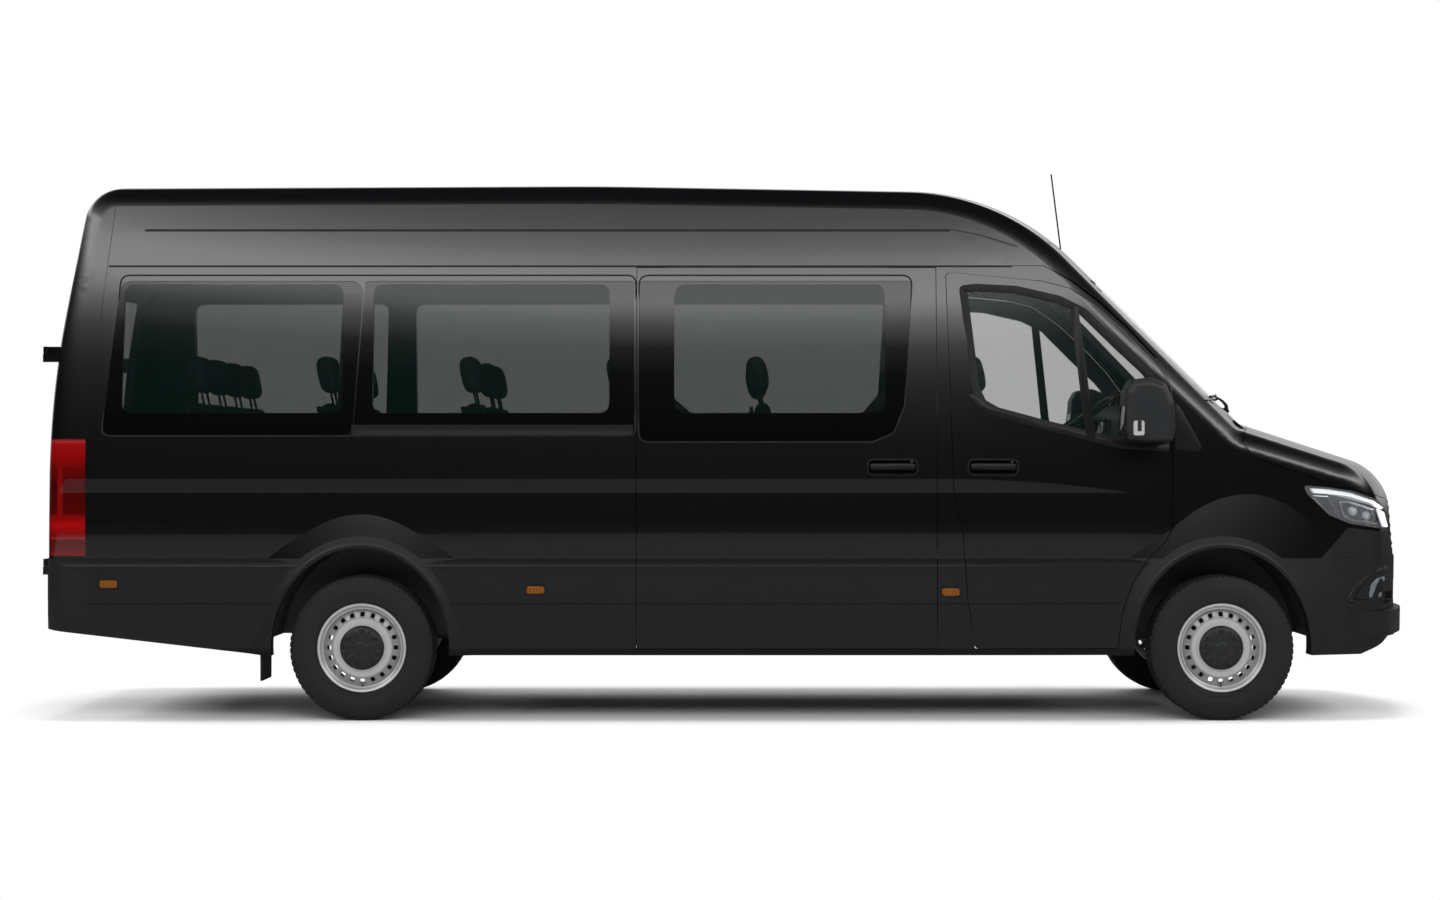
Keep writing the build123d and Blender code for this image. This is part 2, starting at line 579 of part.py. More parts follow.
lamp_front = skin(right(LAMP_SIDE, 12.0, GLASS_GAP, inner=LAMP_INNER_Y))

GRILLE_HALF = 520.0
GRILLE_TOP, GRILLE_LOW = 1085.0, 850.0
grille_zone = block(3200, 3700, -GRILLE_HALF, GRILLE_HALF, GRILLE_LOW, GRILLE_TOP)
front_bumper = wall(bumper_zone & front_zone) - grille_zone
for piece in arches[2:] + both_sides(lamp_block):
    front_bumper = front_bumper - piece

wing_zone = block(2205, 3600, -1150, -500, SKIRT_Z, 1430)
wing = wall(wing_zone) - bonnet_zone - bumper_zone - arches[2] - lamp_block - grille_zone - cab_hole - slot
LAMP_DEEP, LAMP_SHELL = 85.0, 4.0
lamp_pocket = right(LAMP_SIDE, 12.0, LAMP_SHELL, inner=LAMP_INNER_Y + LAMP_SHELL)
lamp_bowl = (body_form(GLASS + 0.3) & lamp_block) - body_form(LAMP_DEEP + LAMP_SHELL)
lamp_bowl = lamp_bowl - (lamp_pocket - body_form(LAMP_DEEP))

nose_centre = wall(block(3000, 3700, -500, 500, 800, 1120)) - bonnet_zone - bumper_zone - grille_zone
nose_centre = nose_centre - both_sides(lamp_block)[0] - both_sides(lamp_block)[1]
grille_ring = wall(grille_zone)
slats = []
slat_pitch = 46.0
slat_t = 16.0
for i in range(5):
    low = GRILLE_LOW + 20 + i * slat_pitch
    slats.append(grille_ring & block(3000, 3700, -GRILLE_HALF, GRILLE_HALF, low, low + slat_t))
posts = [grille_ring & block(3000, 3700, y - 12, y + 12, GRILLE_LOW, GRILLE_TOP)
         for y in (-GRILLE_HALF + 12, 0, GRILLE_HALF - 12)]
grille = slats[0]
for piece in slats[1:] + posts:
    grille = grille + piece

# ---------------------------------------------------------------- door frames beside and under the doors
frame_right = wall(block(DOOR_REAR_X, 2205, -1150, -SIDE_Y, SKIRT_Z, RAIL_Z))
frame_right = frame_right - cab_hole - slide_hole - cab_zone - arches[2]
frame_left = wall(block(DOOR_FRONT_X, 2205, -1150, -SIDE_Y, SKIRT_Z, RAIL_Z))
frame_left = frame_left - cab_hole - cab_zone - arches[2]


def biggest(piece):
    """Drop slivers under a hundred-thousandth of the largest solid."""
    solids = sorted(piece.solids(), key=lambda solid: -solid.volume)
    return group([solid for solid in solids if solid.volume > solids[0].volume * 1e-3])


# ---------------------------------------------------------------- floor, chassis and wheel housings
RAIL_Y0, RAIL_Y1 = 390.0, 470.0
RAIL_LOW, FLOOR_LOW = 480.0, FLOOR_Z - FLOOR_T
RAIL_FRONT_X = 3150.0
FOOT_X = 1990.0             # the cab floor ends here at the toe board
CROSS_X = [-3300, -2700, -1000, -200, 600, 1400, 2750, 3080]
CROSS_W, CROSS_H = 60.0, 80.0
HOUSING_LOW = 420.0
SEAT_FIT = 0.3              # clearance between curved faces that meet
AISLE_X0, AISLE_X1 = -2050.0, 900.0
AISLE_Y0, AISLE_Y1 = -470.0, 20.0
AISLE_T = 3.0

floor = lining & block(-3600, FOOT_X, -1100, 1100, FLOOR_LOW, FLOOR_Z)
floor = floor + block(AISLE_X0, AISLE_X1, AISLE_Y0, AISLE_Y1, FLOOR_Z, FLOOR_Z + AISLE_T)
housings = []
for axle_x, depth in ((REAR_AXLE_X, ARCH_DEPTH_REAR), (FRONT_AXLE_X, ARCH_DEPTH_FRONT)):
    inner_y = -(depth - ARCH_WALL)
    housing = arch(axle_x, ARCH_WALL, -1150, inner_y) & lining
    housing = housing & block(-4000, 4000, -1150, 0, HOUSING_LOW, 2000)
    housings += both_sides(housing - arch(axle_x, 0, -1150, -depth))
    for cut in both_sides(arch(axle_x, ARCH_WALL + SEAT_FIT, -1150, inner_y + SEAT_FIT)):
        floor = floor - cut

SPRING_HALF = 650.0
SPRING_T, SPRING_W = 30.0, 70.0
SPRING_Y = (RAIL_Y0 + RAIL_Y1) / 2
AXLE_TUBE_R = 45.0
HANGER_L = 50.0
JACK_X, JACK_HALF, JACK_T = 300.0, 60.0, 12.0
spring_low = TYRE_R + AXLE_TUBE_R


def chassis_side():
    """Right rail with the hangers of its leaf spring and its jacking pad."""
    rail = block(RAIL_REAR_X, RAIL_FRONT_X, -RAIL_Y1, -RAIL_Y0, RAIL_LOW, FLOOR_LOW)
    pad = block(JACK_X - JACK_HALF, JACK_X + JACK_HALF, -RAIL_Y1 + 10, -RAIL_Y0 - 10, RAIL_LOW - JACK_T, RAIL_LOW)
    side = rail + pad
    for x0 in (REAR_AXLE_X - SPRING_HALF - HANGER_L, REAR_AXLE_X + SPRING_HALF):
        side = side + block(x0, x0 + HANGER_L, -SPRING_Y - SPRING_W / 2, -SPRING_Y + SPRING_W / 2,
                            spring_low + 15, RAIL_LOW)
    return side


chassis = chassis_side()
chassis = chassis + mirror(chassis, Plane.XZ)
for x in CROSS_X:
    chassis = chassis + block(x, x + CROSS_W, -RAIL_Y0, RAIL_Y0, RAIL_LOW, RAIL_LOW + CROSS_H)

# front cross member that carries the lower arms
SUB_X0, SUB_X1 = FRONT_AXLE_X - 70, FRONT_AXLE_X + 70
ARM_LOW, ARM_T = 225.0, 30.0
UPPER_ARM_LOW = 478.0
KING_Y = 800.0
PIN_R, PIN_GAP = 12.0, 0.3
subframe = block(SUB_X0, SUB_X1, -RAIL_Y1, RAIL_Y1, 215, 300)
for side in (-1, 1):
    low, high = sorted((side * RAIL_Y0, side * RAIL_Y1))
    subframe = subframe + block(SUB_X0, SUB_X1, low, high, 300, RAIL_LOW)
arm_plan = [(SUB_X0 - 60, -RAIL_Y1), (SUB_X1 + 60, -RAIL_Y1),
            (FRONT_AXLE_X + 30, -KING_Y - 25), (FRONT_AXLE_X - 30, -KING_Y - 25)]
upper_plan = [(SUB_X0, -RAIL_Y1), (SUB_X1, -RAIL_Y1),
              (FRONT_AXLE_X + 26, -KING_Y - 25), (FRONT_AXLE_X - 26, -KING_Y - 25)]
pin_hole = Pos(FRONT_AXLE_X, -KING_Y, 350) * Cylinder(PIN_R + PIN_GAP, 500)
lower_arm = prism_z(arm_plan[::-1], ARM_LOW, ARM_LOW + ARM_T) - pin_hole
upper_arm = prism_z(upper_plan[::-1], UPPER_ARM_LOW, UPPER_ARM_LOW + 25) - pin_hole
suspension = subframe
for part in both_sides(lower_arm):
    suspension = suspension + part
for part in both_sides(upper_arm):
    chassis = chassis + part
# the upper arms pass through a window in the inner wall of the front wheel housings
ARM_WINDOW = 8.0
arm_window = block(SUB_X0 - ARM_WINDOW, SUB_X1 + ARM_WINDOW, -ARCH_DEPTH_FRONT - 1, -ARCH_DEPTH_FRONT + ARCH_WALL + 1,
                   UPPER_ARM_LOW - ARM_WINDOW, UPPER_ARM_LOW + 25 + ARM_WINDOW)
for cut in both_sides(arm_window):
    housings = [piece - cut for piece in housings]

TOE = [(FOOT_X, FLOOR_Z), (2090, 900), (2300, 1250), (2330, 1540), (2362, 1540), (2332, 1240), (2120, 880), (2020, FLOOR_LOW), (FOOT_X, FLOOR_LOW)]
bulkhead = prism_y(TOE, -1100, 1100) & lining
for cut in both_sides(arch(FRONT_AXLE_X, ARCH_WALL, -1150, -(ARCH_DEPTH_FRONT - ARCH_WALL))):
    bulkhead = bulkhead - cut
bulkhead = biggest(bulkhead)


# ---------------------------------------------------------------- engine, driveline
engine = block(2480, 3060, -300, 300, RAIL_LOW + 80, 1170)
radiator = block(3090, 3135, -385, 385, RAIL_LOW + 80, 1040)
gearbox_end_x = 1700.0
gearbox = block(gearbox_end_x, 2300, -150, 150, 360, 590)
shaft = rod((REAR_AXLE_X + 120, 0, TYRE_R + 20), (gearbox_end_x, 0, 430), 38)
tank = block(250, 1250, 480, 820, 330, FLOOR_LOW)
muffler = rod((-900, -640, 450), (-100, -640, 450), 95)
tail_pipe = rod((-100, -640, 450), (500, -640, 450), 25)
muffler_mount = block(-700, -660, -660, -620, 540, FLOOR_LOW) + block(-340, -300, -660, -620, 540, FLOOR_LOW)

axle_tube = rod((REAR_AXLE_X, -700, TYRE_R), (REAR_AXLE_X, 700, TYRE_R), AXLE_TUBE_R)
diff = Pos(REAR_AXLE_X, 0, TYRE_R) * Sphere(140)
rear_axle = axle_tube + diff
SPINDLE_R = 30.0
SPINDLE_END = TRACK_HALF + 47.0
HUB_FACE = 700.0
rear_axle = rear_axle + rod((REAR_AXLE_X, -SPINDLE_END, TYRE_R), (REAR_AXLE_X, SPINDLE_END, TYRE_R), SPINDLE_R)
for side in (-1, 1):
    y = side * HUB_FACE
    rear_axle = rear_axle + rod((REAR_AXLE_X, y, TYRE_R), (REAR_AXLE_X, y + side * 60, TYRE_R), 130)
    plane = Plane(origin=(REAR_AXLE_X, side * SPRING_Y + SPRING_W / 2, spring_low), x_dir=(1, 0, 0), z_dir=(0, -1, 0))
    with BuildSketch(plane) as leaf:
        with BuildLine():
            ThreePointArc((-SPRING_HALF, 30), (0, 0), (SPRING_HALF, 30))
            Line((SPRING_HALF, 30), (SPRING_HALF, 30 + SPRING_T))
            ThreePointArc((SPRING_HALF, 30 + SPRING_T), (0, SPRING_T), (-SPRING_HALF, 30 + SPRING_T))
            Line((-SPRING_HALF, 30 + SPRING_T), (-SPRING_HALF, 30))
        make_face()
    rear_axle = rear_axle + extrude(leaf.sketch, amount=SPRING_W)
    rear_axle = rear_axle + block(REAR_AXLE_X - 50, REAR_AXLE_X + 50, side * SPRING_Y - 35, side * SPRING_Y + 35, TYRE_R, spring_low + 10)

# ---------------------------------------------------------------- wheels: (radius, out from the middle)
BARREL = [
    (222, -88), (222, -80), (205, -76), (205, -42), (188, -32), (188, 22), (205, 42), (205, 76), (222, 80), (222, 88),
    (214, 88), (197, 78), (197, 45), (180, 26), (180, -36), (197, -46), (197, -82), (214, -88),
]
DISC = [(0, 50), (152, 50), (190, 36), (199, 36), (199, 48), (192, 48), (152, 64), (112, 64), (112, 76), (96, 88), (40, 92), (0, 92)]
SLEEVE = [(SPINDLE_R + 0.3, -10), (SPINDLE_R + 0.3, 51), (58, 51), (58, -10)]
TYRE = [
    (206, -75), (222, -79), (228, -96), (285, -112), (336, -106), (361, -90), (365, -60), (365, 60), (361, 90), (336, 106),
    (285, 112), (228, 96), (222, 79), (206, 75), (206, 60), (236, 78), (285, 98), (335, 92), (348, 60), (348, -60),
    (335, -92), (285, -98), (236, -78), (206, -60),
]
VENT_COUNT = 20
VENT_R = 168.0
VENT_SIZE = 24.0


def turned(points):
    """Profile of radius and outward distance, turned round the wheel's axis (the Y axis)."""
    with BuildSketch(Plane.XY) as sketch:
        with BuildLine():
            Polyline(*points, close=True)
        make_face()
    return revolve(sketch.sketch, axis=Axis.Y)


rim = turned(BARREL) + turned(DISC) + turned(SLEEVE)
vent = Pos(VENT_R, 50, 0) * Box(VENT_SIZE, 60, VENT_SIZE)
rim = rim - [Rot(0, 360.0 / VENT_COUNT * i, 0) * vent for i in range(VENT_COUNT)]
tyre = turned(TYRE)


def wheel_at(piece, x, side):
    placed = piece if side > 0 else mirror(piece, Plane.XZ)
    return Pos(x, side * TRACK_HALF, TYRE_R) * placed


knuckle = Pos(FRONT_AXLE_X, -KING_Y, (ARM_LOW + ARM_T + UPPER_ARM_LOW) / 2) * Cylinder(32, UPPER_ARM_LOW - ARM_LOW - ARM_T - 0.6)
knuckle = knuckle + Pos(FRONT_AXLE_X, -KING_Y, (ARM_LOW + UPPER_ARM_LOW + 25) / 2) * Cylinder(PIN_R, UPPER_ARM_LOW + 25 - ARM_LOW)
knuckle = knuckle + rod((FRONT_AXLE_X, -KING_Y, TYRE_R), (FRONT_AXLE_X, -SPINDLE_END, TYRE_R), SPINDLE_R)
knuckle_left = mirror(knuckle, Plane.XZ)

# ---------------------------------------------------------------- cabin
DASH = [(1990, 1250), (1960, 1330), (1975, 1540), (2060, 1610), (2290, 1600), (2300, 1250)]
dashboard = prism_y(DASH, -1100, 1100, [10, 30, 40, 60, 10, 10]) & lining
column_low, column_top = (2010, 420, 1400), (1915, 420, 1545)
column_dir = (Vector(*column_top) - Vector(*column_low)).normalized()
dashboard = dashboard + rod(column_low, tuple(Vector(*column_top) - column_dir * 12), 32)
STEER_R = 195.0
wheel_plane = Plane(origin=column_top, z_dir=column_dir)
steering_wheel = wheel_plane * Torus(STEER_R, 15) + wheel_plane * Cylinder(52, 23)
for angle in (0, 120, 240):
    steering_wheel = steering_wheel + wheel_plane * (Rot(0, 0, angle + 30) * (Pos(STEER_R / 2 + 10, 0, 0) * Box(STEER_R - 30, 34, 12)))

SEAT_W = 430.0
SEAT_ROWS = [(93, 640), (-620, 640), (-1370, 640), (-2100, 640), (-2760, 640)]
SINGLE_Y = -675.0
DOUBLE_Y = (228.0, 675.0)
LAST_Y = (-675.0, -226.0, 228.0, 675.0)
CAB_SEATS = [(1200, 480.0), (1200, -228.0), (1200, -675.0)]
BACK_LEAN = 12.0
CUSHION_Z = 965.0
CUSHION_T = 105.0
CUSHION_L = 450.0
BACK_T = 90.0
BACK_H = 640.0
HEAD_TOP = 1872.0


rear_wells = both_sides(arch(REAR_AXLE_X, ARCH_WALL, -1150, -(ARCH_DEPTH_REAR - ARCH_WALL)))


def make_seat():
    """One seat, its head rest centred at X 0 and Y 0: (base, back frame, pads)."""
    heel = (HEAD_TOP - 90 - CUSHION_Z) * math.tan(math.radians(BACK_LEAN))
    half = SEAT_W / 2
    tilt = Pos(heel, 0, CUSHION_Z) * Rot(0, -BACK_LEAN, 0)
    cushion = block(heel + 55, heel + 55 + CUSHION_L, -half, half, CUSHION_Z + 0.3, CUSHION_Z + CUSHION_T)
    cushion = fillet(cushion.edges().filter_by(Axis.Z), 40)
    back = tilt * block(-BACK_T + 45, 45, -half, half, 25, 25 + BACK_H)
    head = tilt * block(-30, 50, -130, 130, 25 + BACK_H + 40, 25 + BACK_H + 230)
    base = block(heel - 30, heel + 480, -190, 190, CUSHION_Z - 30, CUSHION_Z)
    for x in (heel + 40, heel + 400):
        for dy in (-150, 150):
            base = base + block(x - 20, x + 20, dy - 20, dy + 20, FLOOR_Z, CUSHION_Z - 30)
    spine = tilt * block(-BACK_T + 30, -BACK_T + 44.7, -200, 200, -10, BACK_H)
    spine = spine + tilt * block(-BACK_T + 44, 20, -200, 200, -10, 24.7)
    spine = spine + tilt * block(-BACK_T + 44, 20, -90, 90, BACK_H - 60, BACK_H - 45)
    for dy in (-70, 70):
        spine = spine + tilt * rod((10, dy, BACK_H - 60), (10, dy, BACK_H + 130), 6)
    return base - spine, spine, [cushion, back - spine, head - spine]


seat_base, seat_spine, seat_pads = make_seat()
frames, pads_right, pads_left, pads_cab = [], [], [], []
places = []
for index, (head_x, level) in enumerate(SEAT_ROWS):
    row = LAST_Y if index == len(SEAT_ROWS) - 1 else (SINGLE_Y,) + DOUBLE_Y
    places += [(head_x, y, pads_right if y < 0 else pads_left) for y in row]
places += [(head_x, y, pads_cab) for head_x, y in CAB_SEATS]
for head_x, y, pads in places:
    base = Pos(head_x, y, 0) * seat_base
    if abs(y) > ARCH_DEPTH_REAR - SEAT_W / 2 and head_x < REAR_AXLE_X + ARCH_LONG:
        base = base - rear_wells[0 if y < 0 else 1]
    frames += [base, Pos(head_x, y, 0) * seat_spine]
    pads += [Pos(head_x, y, 0) * pad for pad in seat_pads]
seat_frames = group(frames)

# ---------------------------------------------------------------- mirrors, aerial, flaps
MIRROR = [
    (1932, 1650), (1962, 1708), (2050, 1720), (2130, 1690), (2172, 1590), (2180, 1470), (2166, 1402), (2060, 1400),
    (1945, 1410), (1926, 1460),
]
mirror_head = prism_y(MIRROR, -1215, -990, [30.0, 30.0, 60.0, 50.0, 60.0, 60.0, 20.0, 20.0, 15.0, 20.0])
mirror_head = fillet(mirror_head.faces().sort_by(Axis.Y)[0].edges(), 40)
mirror_head = fillet(mirror_head.faces().sort_by(Axis.Y)[-1].edges(), 18)
mirror_arm = block(2085, 2175, -1010, -900, 1412, 1462)
mirror_right = (mirror_head + mirror_arm) - hull
antenna = rod((1720, -300, 2380), (1665, -300, 2815), 4) - hull
flap = block(REAR_AXLE_X - ARCH_LONG - 62, REAR_AXLE_X - ARCH_LONG - 50, -960, -700, 200, FLOOR_LOW)
flap = flap - hull

# ---------------------------------------------------------------- what is saved
nodes = {
    "floor": biggest(floor), "chassis": chassis, "wheel_housings": group(housings), "bulkhead": bulkhead, "side_panel_right": biggest(panel_right),
    "side_panel_left": mirror(biggest(panel_left), Plane.XZ),
    "door_frames": group([biggest(frame_right), mirror(biggest(frame_left), Plane.XZ)]),
    "roof": biggest(roof), "cab_frame": biggest(cab_frame),
    "wings": group(both_sides(biggest(wing))), "nose_panel": biggest(nose_centre),
    "front_bumper": biggest(front_bumper), "grille": biggest(grille),
    "lamp_housings": group(both_sides(biggest(lamp_bowl))), "headlamps": group(both_sides(lamp_front)),
    "rear_bumper": biggest(rear_bumper), "tail_lamps": group(both_sides(biggest(tail_lamp))),
    "side_glass": group(glass_right + slide_glass + [mirror(pane, Plane.XZ) for pane in glass_left]),
    "windscreen": windscreen, "sliding_door": biggest(slide_door),
    "dashboard": dashboard, "seat_frames": seat_frames,
    "seat_pads_right": group(pads_right), "seat_pads_left": group(pads_left), "seat_pads_cab": group(pads_cab),
    "engine": group([engine, radiator]), "driveline": group([gearbox, shaft - diff, tank, muffler + tail_pipe + muffler_mount]),
    "rear_axle": rear_axle, "front_suspension": suspension, "antenna": antenna, "mud_flaps": group(both_sides(flap)),
    "bonnet": biggest(bonnet), "steering_wheel": steering_wheel,
    "knuckle_right": knuckle, "knuckle_left": knuckle_left,
}
for side, name in ((-1, "right"), (1, "left")):
    def flip(piece, side=side):
        return piece if side < 0 else mirror(piece, Plane.XZ)
    nodes["front_door_" + name] = flip(biggest(cab_door))
    nodes["door_glass_" + name] = flip(group(cab_glass))
    nodes["mirror_" + name] = flip(biggest(mirror_right))
    nodes["rear_door_" + name] = flip(biggest(tail_door))
    nodes["rear_glass_" + name] = flip(tail_glass)
    for end, x in (("front", FRONT_AXLE_X), ("rear", REAR_AXLE_X)):
        nodes[f"tyre_{end}_{name}"] = wheel_at(tyre, x, side)
        nodes[f"rim_{end}_{name}"] = wheel_at(rim, x, side)
for name, piece in nodes.items():
    save(name, piece)
print(len(nodes), "nodes")
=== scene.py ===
import json
import math

import bmesh
import bpy
import mathutils.bvhtree
import numpy as np
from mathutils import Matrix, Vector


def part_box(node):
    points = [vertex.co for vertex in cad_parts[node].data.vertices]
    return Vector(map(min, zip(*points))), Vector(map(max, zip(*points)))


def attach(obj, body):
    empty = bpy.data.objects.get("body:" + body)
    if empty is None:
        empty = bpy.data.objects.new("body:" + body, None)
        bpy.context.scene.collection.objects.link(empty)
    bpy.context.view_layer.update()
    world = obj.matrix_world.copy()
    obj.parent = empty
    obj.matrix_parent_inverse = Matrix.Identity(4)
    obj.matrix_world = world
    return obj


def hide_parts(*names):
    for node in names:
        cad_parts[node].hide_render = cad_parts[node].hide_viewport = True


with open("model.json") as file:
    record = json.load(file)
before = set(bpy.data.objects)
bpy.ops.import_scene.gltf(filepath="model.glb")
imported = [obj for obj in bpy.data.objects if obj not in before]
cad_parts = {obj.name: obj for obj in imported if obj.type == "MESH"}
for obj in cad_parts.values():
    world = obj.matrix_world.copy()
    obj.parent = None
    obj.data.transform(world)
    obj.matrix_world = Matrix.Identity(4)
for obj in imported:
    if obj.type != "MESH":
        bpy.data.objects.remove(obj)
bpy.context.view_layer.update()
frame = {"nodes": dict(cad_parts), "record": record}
nodes = frame["nodes"]
print("frame loaded:", len(nodes), "nodes")


# middle of the box round a piece of the frame
def middleOf(node):
    low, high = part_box(node)
    return (low + high) / 2


sides = (("right", -1), ("left", 1))
axles = [float(middleOf(f"tyre_{end}_right")[0]) for end in ("rear", "front")]
wheelHeight = float(middleOf("tyre_rear_right")[2])


# a shader socket that takes part in plain arithmetic
class Wire:
    def __init__(self, finish, link):
        self.finish = finish
        self.link = link

    def maths(self, operation, *others):
        return self.finish.node("Math", {"operation": operation}, dict(enumerate((self, *others))))

    def __add__(self, other):
        return self.maths("ADD", other)

    def __sub__(self, other):
        return self.maths("SUBTRACT", other)

    def __rsub__(self, other):
        return self.finish.node("Math", {"operation": "SUBTRACT"}, {0: other, 1: self})

    def __mul__(self, other):
        return self.maths("MULTIPLY", other)

    def __truediv__(self, other):
        return self.maths("DIVIDE", other)

    def __gt__(self, other):
        return self.maths("GREATER_THAN", other)

    def __lt__(self, other):
        return self.maths("LESS_THAN", other)

    def __abs__(self):
        return self.maths("ABSOLUTE")

    __radd__ = __add__
    __rmul__ = __mul__

    def root(self):
        return self.maths("SQRT")

    def sine(self):
        return self.maths("SINE")

    def smaller(self, other):
        return self.maths("MINIMUM", other)

    def larger(self, other):
        return self.maths("MAXIMUM", other)

    # 0 below low, 1 above high, a smooth step between
    def step(self, low, high):
        sockets = {"Value": self, "From Min": low, "From Max": high}
        return self.finish.node("MapRange", {"interpolation_type": "SMOOTHSTEP"}, sockets)


# one material: a Principled shader whose sockets take plain values or wires
class Finish:
    def __init__(self, name, **fixed):
        self.material = bpy.data.materials.new(name)
        self.material.use_nodes = True
        self.tree = self.material.node_tree
        self.shader = self.tree.nodes["Principled BSDF"]
        self.places = {}
        self.set(**fixed)

    def feed(self, socket, value):
        if isinstance(value, Wire):
            self.tree.links.new(value.link, socket)
        elif isinstance(value, tuple) and len(value) == 3 and socket.type == "RGBA":
            socket.default_value = (*value, 1.0)
        else:
            socket.default_value = value

    def node(self, kind, settings=None, inputs=None, output=0):
        made = self.tree.nodes.new("ShaderNode" + kind)
        for key, value in (settings or {}).items():
            if key == "stops":
                ramp = made.color_ramp.elements
                for spot, (place, colour) in enumerate(value):
                    element = ramp[spot] if spot < len(ramp) else ramp.new(place)
                    element.position = place
                    element.color = (*colour, 1.0)
            else:
                setattr(made, key, value)
        for key, value in (inputs or {}).items():
            self.feed(made.inputs[key], value)
        return Wire(self, made.outputs[output])

    # names such as baseColor stand for the shader's own Base Color
    def set(self, **values):
        labels = {label.replace(" ", "").lower(): label for label in self.shader.inputs.keys()}
        for key, value in values.items():
            self.feed(self.shader.inputs[labels[key.lower()]], value)
        return self

    # what the material sends out in place of its own shader
    def surface(self, wire):
        self.feed(self.tree.nodes["Material Output"].inputs["Surface"], wire)

    def place(self, coordinates="Object"):
        if coordinates not in self.places:
            self.places[coordinates] = self.node("TexCoord", {}, {}, coordinates)
        return self.places[coordinates]

    def split(self, vector):
        return [self.node("SeparateXYZ", {}, {0: vector}, axis) for axis in range(3)]

    def axes(self, coordinates="Object"):
        return self.split(self.place(coordinates))

    def noise(self, scale, detail=3.0, roughness=0.5, vector=None):
        inputs = {"Vector": vector or self.place(), "Scale": scale, "Detail": detail,
                  "Roughness": roughness}
        return self.node("TexNoise", {}, inputs, "Fac")

    def mix(self, mask, first, second):
        return self.node("Mix", {"data_type": "RGBA"}, {0: mask, 6: first, 7: second}, 2)

    # number between two values by a mask
    def between(self, mask, first, second):
        return mask * (second - first) + first

    def bump(self, height, distance, strength=1.0):
        inputs = {"Height": height, "Distance": distance, "Strength": strength}
        self.set(normal=self.node("Bump", {}, inputs))


def scaled(tone, factor):
    return tuple(part * factor for part in tone)


# paint above, textured cladding below, cloth lining where a wall looks into the cabin, and painted shadow
# at the cladding's seams and under the sill
def bodyFinish():
    look = {"paint": (0.0016, 0.0017, 0.002), "cladding": (0.0062, 0.0067, 0.0075),
            "lining": (0.03, 0.03, 0.032), "seam": (0.0008, 0.0008, 0.001), "paintRough": 0.22,
            "claddingRough": 0.42, "liningRough": 0.85, "claddingTop": 0.8155, "archHalf": (0.500, 0.562),
            "seams": (0.361, 0.590), "sillTop": 0.3605, "cabinMiddle": 1.45, "cabinHalf": 0.80}
    finish = Finish("bodyPaint")
    x, y, z = finish.axes()
    nx, ny, nz = finish.axes("Normal")
    facing = (x * 0.25) * nx + y * ny + (z - look["cabinMiddle"]) * nz
    wide = (abs(ny) > 0.6).larger(abs(y) < look["cabinHalf"])
    lined = (facing < -0.02) * wide
    low = z < look["claddingTop"]
    for axle in axles:
        across = (x - axle) / look["archHalf"][0]
        up = (z - wheelHeight) / look["archHalf"][1]
        low = low.larger((across * across + up * up) < 1.0)
    # painted shadow: thin dark lines at the cladding's two seams and a dark band below the sill top, where
    # shade falls in the gaps and under the sill
    first, second = look["seams"]
    seam = 1 - abs(abs(z - (first + second) / 2) - (second - first) / 2).step(0.0015, 0.004)
    sillShade = z < look["sillTop"]
    grain = finish.noise(900.0, 2.0)
    speck = finish.noise(60.0, 2.0)
    paint = finish.mix(speck, look["paint"], scaled(look["paint"], 1.5))
    plastic = finish.mix(speck, look["cladding"], scaled(look["cladding"], 1.15))
    plastic = finish.mix(seam.larger(sillShade) * 0.8, plastic, look["seam"])
    outside = finish.mix(low, paint, plastic)
    rough = finish.between(low, look["paintRough"], look["claddingRough"])
    finish.set(baseColor=finish.mix(lined, outside, look["lining"]))
    finish.set(roughness=finish.between(lined, rough, look["liningRough"]))
    finish.set(coatWeight=1 - lined.larger(low), coatRoughness=0.03)
    finish.bump(grain * low, 0.00018, 0.4)
    return finish.material


# moulded plastic with a fine grain
def claddingFinish(name, tone, roughness=0.42):
    finish = Finish(name, coatWeight=0.0)
    grain = finish.noise(900.0, 2.0)
    cloud = finish.noise(7.0, 3.0)
    finish.set(baseColor=finish.mix(cloud, tone, scaled(tone, 1.25)))
    finish.set(roughness=cloud * 0.1 + roughness)
    finish.bump(grain, 0.00025, 0.6)
    return finish.material


# signed distance to a rectangle with rounded corners, below zero inside
def roundedBox(across, up, window):
    x0, x1, z0, z1, radius = window
    dx = abs(across - (x0 + x1) / 2) - ((x1 - x0) / 2 - radius)
    dz = abs(up - (z0 + z1) / 2) - ((z1 - z0) / 2 - radius)
    ox = dx.larger(0.0)
    oz = dz.larger(0.0)
    return (ox * ox + oz * oz).root() + dx.larger(dz).smaller(0.0) - radius


# see-through glass: the printed border round each clear window is opaque black
def glassFinish(name, tint, clearness, windows=(), axis=0):
    finish = Finish(name, roughness=0.02, iOR=1.52, coatWeight=0.0)
    alpha = 1 - clearness
    if not windows:
        finish.set(alpha=alpha, baseColor=tint)
        return finish.material
    place = finish.axes()
    nearest = None
    for window in windows:
        distance = roundedBox(place[axis], place[2], window[:5])
        if window[5]:
            distance = distance + (place[1] * window[5] < 0.0) * 10.0
        nearest = distance if nearest is None else nearest.smaller(distance)
    border = nearest.step(-0.002, 0.003)
    finish.set(alpha=finish.between(border, alpha, 1.0))
    finish.set(baseColor=finish.mix(border, tint, (0.001, 0.0012, 0.0012)))
    return finish.material


# one tone that clouds give a little wear, with a fine grain
def plainFinish(name, tone, roughness, metallic=0.0, coat=0.0, wear=0.12, grainScale=300.0, depth=0.0002):
    finish = Finish(name, metallic=metallic, coatWeight=coat)
    cloud = finish.noise(9.0, 4.0)
    grain = finish.noise(grainScale, 2.0)
    finish.set(baseColor=finish.mix(cloud, scaled(tone, 1 - wear), scaled(tone, 1 + wear)))
    finish.set(roughness=cloud * 0.12 + roughness - 0.06)
    finish.bump(grain, depth, 0.5)
    return finish.material
